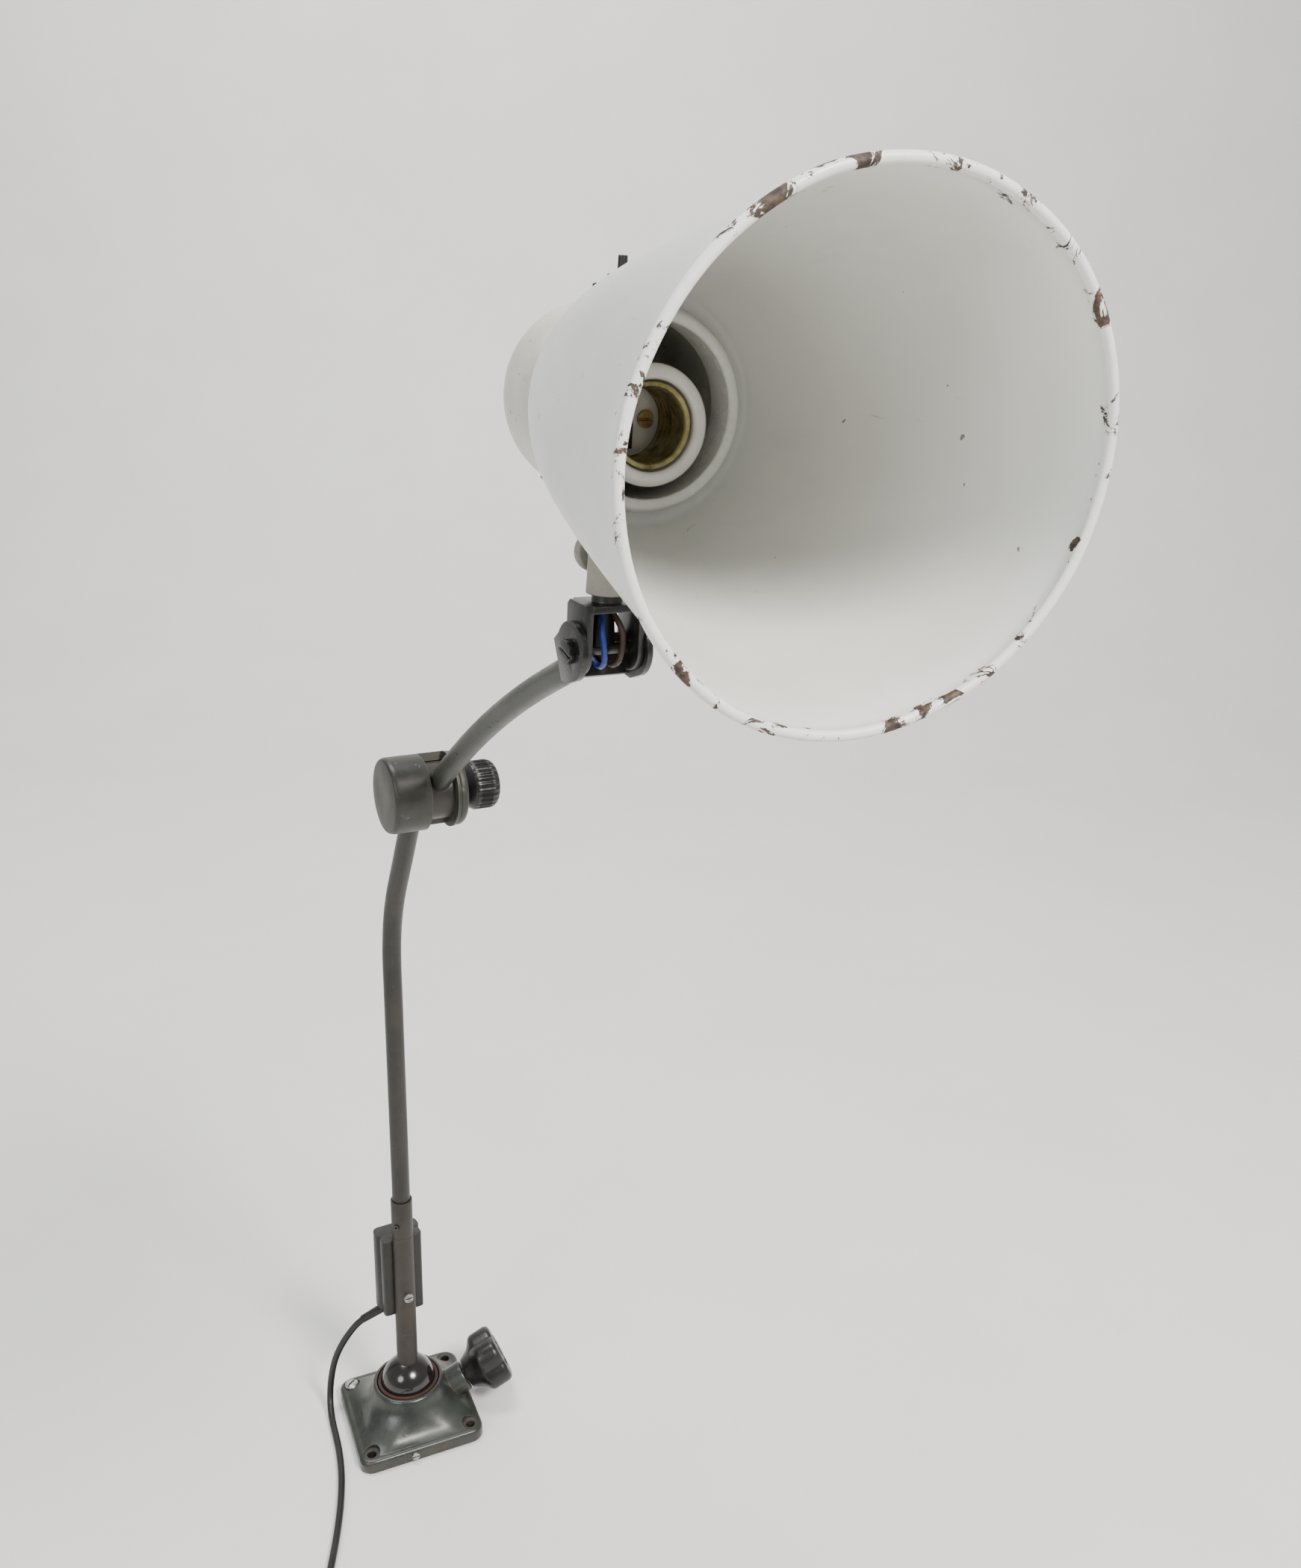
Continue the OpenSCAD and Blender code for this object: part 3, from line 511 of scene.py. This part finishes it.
def glaze(name="ceramic"):
    s = Surface(name)
    tone = s.mix(s.step(s.noise(90, 4), 0.35, 0.7), (0.78, 0.77, 0.72), (0.70, 0.69, 0.64))
    # Painted shade: the glaze goes darker and brownish in the recesses that ambient occlusion finds
    tone = s.mix(s.both(s.crevice(0.006), 0.5), tone, (0.22, 0.19, 0.14))
    specks = s.step(s.noise(380, 2), 0.74, 0.77)
    tone = s.mix(s.both(specks, 0.5), tone, (0.25, 0.2, 0.15))
    return s.finish(tone, 0.12, [(s.noise(60, 2), 0.10, 0.0006)], coat=0.8, coat_rough=0.05)


def lead_rubber():
    s = Surface("cord_black")
    fine = s.noise(900, 4, 0.7)
    tone = s.mix(s.step(s.noise(70, 5), 0.35, 0.7), (0.004, 0.004, 0.004), (0.010, 0.010, 0.009))
    tone = s.mix(s.both(s.step(s.noise(180, 6, 0.8), 0.6, 0.7), 0.3), tone, (0.06, 0.055, 0.05))
    return s.finish(tone, 0.5, [(fine, 0.2, 0.0002)])


PAINTS = {
    "base_enamel": base_paint(),
    "bright_screw": bare_metal("bright_screw", (0.55, 0.55, 0.52), (0.20, 0.19, 0.17)),
    "brass": bare_metal("brass", (0.55, 0.40, 0.16), (0.20, 0.14, 0.06)),
    "bakelite": plastic("bakelite", (0.005, 0.004, 0.004), dusty=0.14, rough=0.22),
    "plain_steel": bare_metal("plain_steel", (0.36, 0.35, 0.33), (0.12, 0.10, 0.08)),
    "fibre": plastic("fibre", (0.026, 0.008, 0.005), dusty=0.05, rough=0.6),
    "ball_black": enamel("ball_black", (0.004, 0.003, 0.003), (0.010, 0.006, 0.004),
                         (0.030, 0.018, 0.012), wear=0.5, rough=0.12, coat=0.6),
    "stem_brown": enamel("stem_brown", (0.014, 0.011, 0.008), (0.034, 0.026, 0.019),
                         (0.072, 0.046, 0.030), wear=0.9, rough=0.42, bump=0.3),
    "box_black": plastic("box_black", (0.007, 0.006, 0.005), dusty=0.12, rough=0.32),
    "ceramic": glaze(),
    "cord_black": lead_rubber(),
    "arm_dark": enamel("arm_dark", (0.011, 0.010, 0.008), (0.026, 0.022, 0.017),
                       (0.060, 0.036, 0.022), wear=0.7, rough=0.36, bump=0.25, spots=0.5),
    "arm_green": enamel("arm_green", (0.026, 0.028, 0.022), (0.040, 0.042, 0.034),
                        (0.015, 0.013, 0.010), wear=0.6, rough=0.34, spots=0.6),
    "drum_green": enamel("drum_green", (0.016, 0.017, 0.013), (0.032, 0.032, 0.023),
                         (0.085, 0.090, 0.095), wear=0.9, crevice_shade=0.6, rough=0.36, bump=0.25,
                         spots=0.6, dirt_and_shade=(0.055, 0.048, 0.018)),
    "washer_fibre": plastic("washer_fibre", (0.085, 0.050, 0.030), dusty=0.3, rough=0.7),
    "clevis_black": enamel("clevis_black", (0.004, 0.005, 0.004), (0.008, 0.009, 0.008),
                           (0.12, 0.12, 0.11), wear=0.45, rough=0.26, bump=0.2, coat=0.2),
    "wire_blue": plastic("wire_blue", (0.010, 0.030, 0.20), dusty=0.2, rough=0.35),
    "wire_brown": plastic("wire_brown", (0.030, 0.012, 0.006), dusty=0.2, rough=0.35),
    "bracket_grey": enamel("bracket_grey", (0.215, 0.205, 0.160), (0.285, 0.275, 0.225),
                           (0.085, 0.070, 0.050), wear=0.8, crevice_shade=0.6, rough=0.40, bump=0.25,
                           spots=0.5),
    "housing_cream": enamel("housing_cream", (0.56, 0.545, 0.47), (0.63, 0.615, 0.54),
                            (0.075, 0.055, 0.042), wear=0.45, crevice_shade=0.5, rough=0.33, spots=0.4,
                            dirt_and_shade=(0.14, 0.115, 0.075), coat=0.15),
    "ring_white": enamel("ring_white", (0.74, 0.74, 0.70), (0.68, 0.68, 0.63),
                         (0.25, 0.22, 0.17), wear=0.2, crevice_shade=0.4, rough=0.22, coat=0.4, bump=0.06,
                         dirt_and_shade=(0.20, 0.17, 0.12)),
    "carrier_zinc": bare_metal("carrier_zinc", (0.45, 0.45, 0.42), (0.25, 0.24, 0.21), rough=0.45),
    "shell_brass": bare_metal("shell_brass", (0.42, 0.36, 0.17), (0.16, 0.13, 0.06), rough=0.35),
    "contact_dark": bare_metal("contact_dark", (0.10, 0.08, 0.06), (0.04, 0.03, 0.02)),
    "switch_black": plastic("switch_black", (0.006, 0.006, 0.006), dusty=0.15, rough=0.25),
}
MOUTH_S = 188.0
SHADE_OUT = shade_paint("shade_white", (0.70, 0.70, 0.66), lip=MOUTH_S * MM)
for part in frame["record"]["subparts"]:
    paint = PAINTS.get(part["material_slot"], SHADE_OUT)
    mesh = nodes[part["node"]].data
    mesh.materials.clear()
    mesh.materials.append(paint)
    mesh.shade_smooth()
    mesh.set_sharp_from_angle(angle=radians(32))


# ---------------------------------------------------------------- cords
DROP = [(-25, 18.4, 77), (-30, 21.2, 71), (-34.6, 23.8, 63.8), (-38.8, 26.2, 56),
        (-42.4, 28.4, 47.8), (-45.4, 30.2, 39), (-47.6, 31.4, 30)]
LAY = [(-47.6, 31.4, 30), (-49.2, 31.8, 21.4), (-50.6, 30.4, 13.2), (-51.8, 26, 6.4),
       (-52.6, 18.6, 2.9), (-53, 10, 2.4), (-53.2, -2, 2.4), (-53.6, -14, 2.4),
       (-54.6, -26, 2.4), (-56.4, -39, 2.4), (-59, -52, 2.4), (-62.2, -65, 2.4),
       (-66, -78, 2.4), (-70.2, -91, 2.4), (-74.8, -104, 2.4), (-79.4, -117, 2.4),
       (-83.8, -130, 2.4), (-87.6, -143, 2.4), (-90.8, -156, 2.4), (-93.2, -169, 2.4),
       (-94.8, -182, 2.4), (-95.6, -195, 2.4), (-95.8, -207, 2.4)]
TAIL = [(-60, -236.6, 13), (-52, -237.6, 16.4), (-44.5, -239.3, 18.4), (-37, -240, 18.7)]
COIL = (-66, -216)
TURN = 4.65
CORD_R = 2.3


def coil_path():
    """Eight turns and a quarter, in three layers, from the coil's left side round to its front."""
    shifts = [(0.85, -TURN, 0), (1.85, -TURN, 0), (2.5, 0, TURN), (3.35, TURN, 0),
              (4.35, TURN, 0), (5.1, 0, TURN), (5.95, -TURN, 0), (6.95, -TURN, 0)]
    out = []
    count = 8 * 40 + 10
    for i in range(count + 1):
        t = 8.25 * i / count
        r, z = 29.65, 2.4
        for start, dr, dz in shifts:
            share = min(1, max(0, (t - start) / 0.15))
            share = share * share * (3 - 2 * share)
            r += dr * share
            z += dz * share
        a = pi + 2 * pi * t
        out.append((COIL[0] + r * cos(a), COIL[1] + r * sin(a), z))
    return out


def lathe_x(name, outline, steps=48, shape=None):
    mesh = lathe(name, outline, steps, shape)
    mesh.transform(Matrix.Rotation(radians(90), 4, "Y"))
    return mesh


drop_path = smooth_path(DROP, 8)
lead = sweep("lead_drop", drop_path, CORD_R, 20)
lead_drop = piece("lead_drop", lead, ROW, "stem", PAINTS["cord_black"])
lead_drop.parent = None
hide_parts("cord_drop")
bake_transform(lead_drop)

lay_path = smooth_path(LAY, 5)[:-1] + [Vector(p) for p in coil_path()[6:]]
lay_path += smooth_path([lay_path[-1]] + TAIL, 6)[1:]
lead_lay = piece("lead_lay", sweep("lead_lay", lay_path, CORD_R, 18), ROW, "base",
                 PAINTS["cord_black"])
lead_lay.parent = None
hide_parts("cord_lay", "cord_coil", "cord_tail")
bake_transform(lead_lay)

PLUG = moved(ROW, -40, -240, 18.7)
plug_outline = fillet([(2.4, 0), (3.4, 0), (3.5, 2), (4.1, 3.5), (3.8, 5), (4.6, 6.5), (4.3, 8),
                       (5.1, 9.5), (4.8, 11), (5.6, 12.5), (5.4, 14), (6.2, 19, 1), (7.4, 20.5, 1),
                       (11.5, 25, 5), (17.6, 34, 3), (18.6, 38, 1), (18.6, 51.4, 0.8),
                       (18, 52, 0.3), (0.4, 52), (0.4, 9.5), (2.4, 9.5)], 3)


def plug_shape(a, r, z):
    """A grip of ridges on the plug's body."""
    if z > 36 and r > 12:
        r -= 0.45 * (1 + cos(24 * a)) * (0.5 if 39 < z < 50 else 0)
    return r, z


plug = piece("plug_moulding", lathe_x("plug", plug_outline, 96, plug_shape), PLUG, "base",
             PAINTS["cord_black"])
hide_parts("plug_body")
tie_path = []
for k in range(49):
    a = 2 * pi * k / 48
    side = 3 * TURN / 2 + 0.55
    high = (abs(cos(a)) ** 0.35) * (1 if cos(a) > 0 else -1)
    wide = (abs(sin(a)) ** 0.35) * (1 if sin(a) > 0 else -1)
    tie_path.append(Vector((0, wide * side, side + high * (side - 0.5))))
TIE = moved(ROW, COIL[0], COIL[1] + 25)
tie = sweep("tie", tie_path, 0.5, 10)
tie.transform(Matrix.Diagonal((5.2, 1, 1, 1)))
lead_tie = piece("lead_tie", tie, TIE, "base", PAINTS["cord_black"])
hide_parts("cord_tie")


def stands_for(name, mesh, place, body, material, *replaced, smooth=35):
    """A piece that is drawn in place of CAD nodes."""
    obj = piece(name, mesh, place, body, material, smooth)
    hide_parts(*replaced)
    return obj


def added(name, mesh, place, body, material, smooth=35):
    """A piece that the CAD part doesn't have."""
    obj = piece(name, mesh, place, body, material, smooth)
    return obj


# ---------------------------------------------------------------- shade and lamp housing
NECK_S = 26.0
MOUTH_R = 75.5


def bell(share):
    """Mean radius and place along the axis of the shade's wall, from neck to mouth."""
    return 44 + (MOUTH_R - 44) * share ** 0.78, NECK_S + 3 + (MOUTH_S - NECK_S - 3) * share


outer = [(33.7, NECK_S), (40.6, NECK_S), (42.6, NECK_S + 0.5), (43.8, NECK_S + 1.7)]
outer += [(bell(k / 40)[0] + 0.6, bell(k / 40)[1]) for k in range(1, 41)]
lip = [(MOUTH_R + 0.6 + 1.7 * sin(radians(a)), MOUTH_S - 1.7 * cos(radians(a)))
       for a in range(20, 320, 20)]
inner = [(bell(k / 40)[0] - 0.6, bell(k / 40)[1]) for k in range(39, 0, -1)]
inner += [(43.0, NECK_S + 3), (42.2, NECK_S + 1.8), (40.8, NECK_S + 1.3), (33.7, NECK_S + 1.3)]


def dented(a, r, z):
    """The mouth is a slanting oval with soft dents, as an old spun shade's is."""
    share = max(0, (z - NECK_S) / (MOUTH_S - NECK_S)) ** 2
    return r - share * (3.2 * sin(a - 0.6) ** 2 + 0.3 * (1 + cos(5 * a)) / 2
                        + 0.15 * (1 + cos(11 * a + 1)) / 2), z


stands_for("shade_bell", lathe("shade", outer + lip + inner, 144, dented), SHADE, "head", SHADE_OUT,
           "shade", smooth=60)

HOUSING_BACK = -46.0
HOUSING_WALL = 1.8
profile = [(0.15, HOUSING_BACK), (6, HOUSING_BACK + 0.2), (12, HOUSING_BACK + 1.0)]
profile += [(13 + 24 * sin(radians(a)) ** 0.98, -22 - 24 * cos(radians(a)))
            for a in range(12, 91, 6)]
profile += [(37, -8), (37, 8), (36.6, 8.6), (36.6, 9.4), (37, 10), (37, 24.6), (36.4, 25.6),
            (35.4, NECK_S), (35.2, NECK_S), (35.2, 20), (35.2, -21)]
profile += [(13 + 22.2 * sin(radians(a)), -22 - 22.2 * cos(radians(a))) for a in range(84, 0, -6)]
profile += [(6, HOUSING_BACK + HOUSING_WALL + 0.1), (0.15, HOUSING_BACK + HOUSING_WALL)]
shell = lathe("housing", profile, 128)
shell = cut(shell, (rod(5.1, 20, 50), Matrix.Translation((0, 0, 1)) @ Matrix.Rotation(
    radians(-90), 4, "X")))
stands_for("housing_shell", shell, SHADE, "head", PAINTS["housing_cream"], "lamp_housing",
           smooth=50)

ring_outline = fillet([(33.35, 27.62), (36.2, 27.62, 1.2), (37, 29.4, 1.0), (37, 31.4, 1.2),
                       (36.1, 33.4, 1.2), (35.2, 35, 0.8), (33.6, 35, 0.6), (31.6, 34.2, 0.8),
                       (31.6, 19), (33.4, 19), (33.4, 27.62)], 4)
stands_for("ring_bead", lathe("ring", ring_outline, 128), SHADE, "head", PAINTS["ring_white"],
           "retaining_ring")

# ---------------------------------------------------------------- socket
FACE = 38.0
well = fillet([(19.4, -2.15), (19.4, FACE - 18, 0.6), (22, FACE - 14, 1), (22, FACE - 2, 2.2),
               (20.2, FACE, 1.6), (17.4, FACE, 1.2), (16.4, FACE - 1.2, 0.8), (16.4, FACE - 4.5, 0.5),
               (14.3, FACE - 4.5, 0.4), (14.3, 9, 0.6), (2.6, 9, 0.4), (2.6, -2.15)], 5)


def moulded(a, r, z):
    """Three shallow notches in the porcelain's outer wall."""
    if r > 20 and z < FACE - 3:
        r -= 0.8 * max(0, cos(3 * a)) ** 24
    return r, z


porcelain = lathe("porcelain", well, 128, moulded)
for x in (-8.6, 8.6):
    porcelain = cut(porcelain, (rod(1.7, 4, 20), Matrix.Translation((x, 0, 0))))
stands_for("porcelain_holder", porcelain, SOCKET, "head", PAINTS["ceramic"], "socket_porcelain")

SHELL_LOW = 11.2
SHELL_HIGH = FACE - 4.4
THREAD_R = 13.75
PITCH = 3.6
thread = []
for k in range(60):
    z = SHELL_LOW + (SHELL_HIGH - SHELL_LOW) * k / 59
    thread.append((THREAD_R - 0.5 * (0.5 + 0.5 * cos(2 * pi * z / PITCH)), z))
shell_outline = [(14, SHELL_LOW), (14, SHELL_HIGH), (15.6, SHELL_HIGH), (15.8, FACE - 4.0),
                 (15.8, FACE - 2.9), (15.5, FACE - 2.6), (14.0, FACE - 2.8), (13.4, FACE - 3.6)]
shell_outline += thread[::-1]


def screw(a, r, z):
    """The rolled thread winds as it climbs."""
    if r < 13.9 and z < FACE - 4.5:
        r = THREAD_R - 0.55 * (0.5 + 0.5 * cos(2 * pi * z / PITCH - a))
    return r, z


stands_for("shell_thread", lathe("thread", shell_outline, 96, screw), SOCKET, "head",
           PAINTS["shell_brass"], "thread_shell")

# ---------------------------------------------------------------- base
SIDE = 86.0
HOLE_AT = 34.5
BOWL_R = 21.3


def square_radius(a, half, corner):
    """Distance from the middle to a rounded square's outline in the direction a."""
    c, s = abs(cos(a)), abs(sin(a))
    if c < s:
        c, s = s, c
    flat = half / c
    if flat * s <= half - corner:
        return flat
    m = half - corner
    b = m * (c + s)
    return b + sqrt(max(0, b * b - 2 * m * m + corner * corner))


def square_ring(half, corner, z, steps=192):
    ring = []
    for k in range(steps):
        a = 2 * pi * k / steps
        r = square_radius(a, half, min(corner, half))
        ring.append((r * cos(a), r * sin(a), z))
    return ring


def dome_point(height):
    """Half width and corner radius of the base's dome at a height."""
    table = [(9.5, 39.2, 12), (10.4, 37.6, 14), (12.5, 34.6, 17), (16, 31.8, 21), (20, 29.4, 24.5),
             (24, 27.4, 26.5), (27, 26.2, 26.2), (30, 25.2, 25.2), (32, 24.4, 24.4)]
    for low, high in zip(table, table[1:]):
        if height <= high[0]:
            t = (height - low[0]) / (high[0] - low[0])
            return [low[i] + (high[i] - low[i]) * t for i in (1, 2)]
    return table[-1][1:]


half = SIDE / 2
rings = [square_ring(half - 0.8, 8.4, 0), square_ring(half - 0.2, 9, 0.6),
         square_ring(half, 9, 1.6), square_ring(half, 9, 6.9), square_ring(half - 0.3, 9, 8.2),
         square_ring(half - 1.1, 9, 9.1), square_ring(half - 2.3, 9.5, 9.5)]
for z in (9.5, 9.7, 10.1, 10.8, 11.8, 13, 14.5, 16.2, 18, 20, 22, 24, 26, 28, 30, 31.6):
    size, corner = dome_point(z)
    rings.append(square_ring(size, corner, z + (0.15 if z == 9.5 else 0)))
rings += [square_ring(r, r, z) for r, z in ((23.9, 32.6), (22.9, 33), (21.9, 32.9))]
for step in range(8):
    a = radians(4 + 10 * step)
    rings.append(square_ring(BOWL_R * cos(a), BOWL_R * cos(a), BALL_Z - BOWL_R * sin(a)))
rings += [square_ring(8, 8, 10.8), square_ring(8, 8, 1.2), square_ring(12, 12, 0.4),
          square_ring(30, 20, 0.4), square_ring(half - 3, 8, 0.4)]
casting = loft("casting", rings, closed_profile=True)
HOLES = [(x, y) for x in (-HOLE_AT, HOLE_AT) for y in (-HOLE_AT, HOLE_AT)]
for x, y in HOLES:
    spot_face = lathe("spot_face", fillet([(0.1, -1), (3, -1), (3, 8.6), (3.3, 9.0),
                                           (5.6, 9.05, 0.3), (5.8, 30), (0.1, 30)], 2), 48)
    casting = cut(casting, (spot_face, Matrix.Translation((x, y, 0))))
casting = cut(casting, (block(-60, -34, -2.2, 2.2, 13, 29), Matrix.Identity(4)))
boss = lathe("boss", fillet([(0.1, -43), (10.2, -43, 1), (11, -42, 1), (11, -18, 1.4),
                             (10, -17, 0.8), (4.4, -17, 0.4), (4.4, -40), (0.1, -40)], 3), 64)
to_row = ROW.inverted() @ CLAMP
trimmed = cut(boss, (block(-60, 60, -60, 60, -40, 0.5), to_row.inverted()),
              (rod(23.0, -1, 60, 64), to_row.inverted()))
casting = joined("casting", (casting, Matrix.Identity(4)), (trimmed, to_row))
stands_for("base_body", casting, ROW, "base", PAINTS["base_enamel"], "base_casting", smooth=40)


def slotted_head(r, h, slot_w, slot_d):
    """A raised slotted screw head standing on z = 0."""
    head = lathe("head", fillet([(0.1, 0), (r, 0, 0.2), (r, h * 0.45, h * 0.5),
                                 (r * 0.72, h * 0.92, 1.5), (0.1, h)], 5), 48)
    return cut(head, (block(-r - 1, r + 1, -slot_w / 2, slot_w / 2, h - slot_d, h + 2),
                      Matrix.Rotation(radians(37), 4, "Z")))


added("fixing_screw", slotted_head(4.9, 3.0, 1.3, 1.5), moved(ROW, -HOLE_AT, HOLE_AT, 9.15), "base",
      PAINTS["bright_screw"])

# ---------------------------------------------------------------- knobs
def lobed(a, r, z):
    """Five round lobes that fade where the knob's neck starts."""
    if r < 8:
        return r, z
    share = min(1, max(0, (z + 8.5) / 4.5))
    wave = (0.5 + 0.5 * cos(5 * a)) ** 0.62
    return r * (1 - share * 0.17 * (1 - wave)), z


knob_outline = fillet([(4.02, -16), (10.4, -16, 0.8), (11.2, -14.2, 1), (14.2, -8.6, 3),
                       (20.6, -4.2, 2.2), (21.5, -2, 1.6), (21.5, 9.6, 1.8), (19.6, 12, 1.8),
                       (12.8, 12, 0.8), (12, 10.9, 0.8), (6.6, 10.9, 0.6), (6, 12, 0.5),
                       (4.02, 12)], 5)
stands_for("base_knob_lobed", lathe("knob", knob_outline, 180, lobed), CLAMP, "base_knob",
           PAINTS["bakelite"], "base_knob")


def fluted(a, r, z):
    """Twenty-four flutes round the knob's rim, fading at both ends."""
    if r > 12.6 and 32.2 < z < 46:
        r -= 0.55 * (0.5 - 0.5 * cos(24 * a)) * min(1, (z - 32.2) / 1.2) * min(1, (46 - z) / 1.2)
    return r, z


elbow_outline = fillet([(4.02, 22.2), (8.4, 22.2), (8.4, 26.2, 0.5), (9.6, 26.8, 0.5),
                        (13.4, 31.6, 1), (14.4, 33.2, 0.8), (14.4, 43.6, 0.8), (13.4, 45.6, 1.2),
                        (11.6, 47, 0.8), (9.6, 47, 0.5), (9.0, 46.2, 0.5), (4.02, 46.2)], 4)
rim_start = 16
elbow_outline[rim_start:rim_start] = [(14.4, z) for z in (34.6, 36, 38, 40, 42)]
stands_for("elbow_knob_fluted", lathe_x("elbow_knob", elbow_outline, 240, fluted), ELBOW,
           "elbow_knob", PAINTS["bakelite"], "elbow_knob")

# ---------------------------------------------------------------- elbow drum
DRUM_R = 22.0
drum_outline = fillet([(0.1, -20.0), (12, -19.9, 4), (21, -19, 1), (DRUM_R, -17, 2.2),
                       (DRUM_R, 19.1, 0.4), (DRUM_R - 0.5, 19.6, 0.2), (17, 19.6), (17, -14),
                       (0.1, -14)], 5)
window = [(-30 * sin(radians(e)), -30 * cos(radians(e))) for e in range(-98, 109, 6)]
window += [(-11 * sin(radians(e)), -11 * cos(radians(e))) for e in range(106, -99, -6)]
drum = cut(lathe("drum", drum_outline, 128), (prism("window", window, 2.2, 17.4, edge=0),
                                              Matrix.Identity(4)))
drum.transform(Matrix.Rotation(radians(90), 4, "Y"))
stands_for("elbow_drum", drum, ELBOW, "lower_arm", PAINTS["drum_green"], "elbow_housing", smooth=40)
ring_shape = fillet([(4.3, 19.62), (4.3, 21.8), (14.6, 21.8, 0.5), (15.2, 24.2, 0.5),
                     (16, 24.4, 0.4), (20.4, 24.4, 1.6), (21.6, 22.6, 1.4), (21.6, 20.2, 0.4),
                     (21.1, 19.62)], 4)
stands_for("elbow_ring", lathe_x("elbow_ring", ring_shape, 128), ELBOW, "lower_arm",
           PAINTS["drum_green"], "elbow_end_ring")

# ---------------------------------------------------------------- softened CAD shapes
BODY_OF = {name: body for body, names in frame["record"]["behaviour"]["bodies"].items()
           for name in names}
SLOT_OF = {row["node"]: row["material_slot"] for row in frame["record"]["subparts"]}


def softened(node, width, limit=28, segments=3):
    """A copy of a CAD node with its sharp edges rounded by a width in millimetres."""
    bm = bmesh.new()
    bm.from_mesh(nodes[node].data)
    bmesh.ops.remove_doubles(bm, verts=bm.verts, dist=2e-6)
    bmesh.ops.dissolve_limit(bm, angle_limit=radians(0.6), verts=bm.verts, edges=bm.edges)
    sharp = [e for e in bm.edges if len(e.link_faces) == 2 and e.calc_face_angle() > radians(limit)]
    bmesh.ops.bevel(bm, geom=sharp, offset=width * MM, segments=segments, profile=0.5,
                    affect="EDGES", clamp_overlap=True)
    mesh = bpy.data.meshes.new(node + "_soft")
    bm.to_mesh(mesh)
    bm.free()
    mesh.transform(Matrix.Scale(1 / MM, 4))
    stands_for(node + "_soft", mesh, ROW, BODY_OF[node], PAINTS[SLOT_OF[node]], node, smooth=32)


for node, width in (("box_saddle", 1.6), ("box_cover", 2.2), ("arm_fork", 0.5), ("head_yoke", 0.7),
                    ("thumb_screw", 0.6), ("switch_key", 0.5), ("sleeve_collar", 0.5),
                    ("switch_ring_nut", 0.25), ("pivot_screw", 0.35), ("pivot_nut", 0.4)):
    softened(node, width)

# ---------------------------------------------------------------- small extras
spring = joined("spring", (block(-3.5, 3.5, -11, 2, 9.02, 9.9, 0.2), Matrix.Identity(4)),
                (block(-3.3, 3.3, 0, 6.5, 0, 0.8, 0.2), Matrix.Translation((0, 1, 9.3))
                 @ Matrix.Rotation(radians(38), 4, "X")))
stands_for("contact_spring", spring, SOCKET, "head", PAINTS["contact_dark"], "centre_contact")
YOKE = turned(PIN, 4, "X")
boot_path = [Vector((0, 3.0, z)) for z in (2.0, 3.5, 6, 9, 12, 14.5, 16.8)]
boot = sweep("boot", boot_path, lambda t: 8.2 - 2.6 * t * t, 32, 0.62)
added("wire_boot", boot, YOKE, "yoke", PAINTS["cord_black"])

# ---------------------------------------------------------------- stage and light
def sweep_wall():
    """A floor that curves up into a wall behind the lamp, square to the camera's heading."""
    line = [(-4.0, 0.0), (1.5, 0.0)]
    line += [(1.5 + 1.2 * sin(radians(a)), 1.2 - 1.2 * cos(radians(a))) for a in range(10, 91, 10)]
    line.append((2.7, 5.0))
    bm = bmesh.new()
    rows = [[bm.verts.new((x, y, z)) for x in (-6, 0, 6)] for y, z in line]
    for low, high in zip(rows, rows[1:]):
        for k in (0, 1):
            bm.faces.new((low[k], low[k + 1], high[k + 1], high[k]))
    mesh = bpy.data.meshes.new("floor")
    bm.to_mesh(mesh)
    bm.free()
    mesh.shade_smooth()
    return mesh


floor = bpy.data.objects.new("floor", sweep_wall())
bpy.context.scene.collection.objects.link(floor)
floor.matrix_world = Matrix.Translation((0, 0, -0.0002)) @ Matrix.Rotation(radians(HEADING), 4, "Z")
wall_paint = Surface("studio_floor")
wall_paint.finish(wall_paint.mix(wall_paint.step(wall_paint.noise(4, 3), 0.3, 0.7),
                                 (0.80, 0.79, 0.765), (0.77, 0.76, 0.735)), 0.7, round_edges=0)
floor.data.materials.append(wall_paint.material)
world = bpy.data.worlds.new("studio")
bpy.context.scene.world = world
world.use_nodes = True
sky = world.node_tree.nodes["Background"]
sky.inputs["Color"].default_value = (0.97, 0.98, 1.0, 1)
sky.inputs["Strength"].default_value = 0.5


def lamp(name, at, aim, size, power, colour=(1, 1, 1)):
    light = bpy.data.lights.new(name, "AREA")
    light.shape = "DISK"
    light.size = size
    light.energy = power
    light.color = colour
    obj = bpy.data.objects.new(name, light)
    bpy.context.scene.collection.objects.link(obj)
    obj.location = at
    obj.rotation_euler = (Vector(at) - Vector(aim)).to_track_quat("Z", "Y").to_euler()


lamp("key", (0.55, -1.5, 1.75), (0, -0.2, 0.4), 0.6, 62, (1.0, 0.97, 0.93))
lamp("fill", (-1.3, -1.0, 1.2), (0, -0.15, 0.35), 0.8, 12, (0.92, 0.96, 1.0))
lamp("wall", (-0.2, 0.6, 2.6), (0.9, 2.4, 0.9), 1.4, 75)
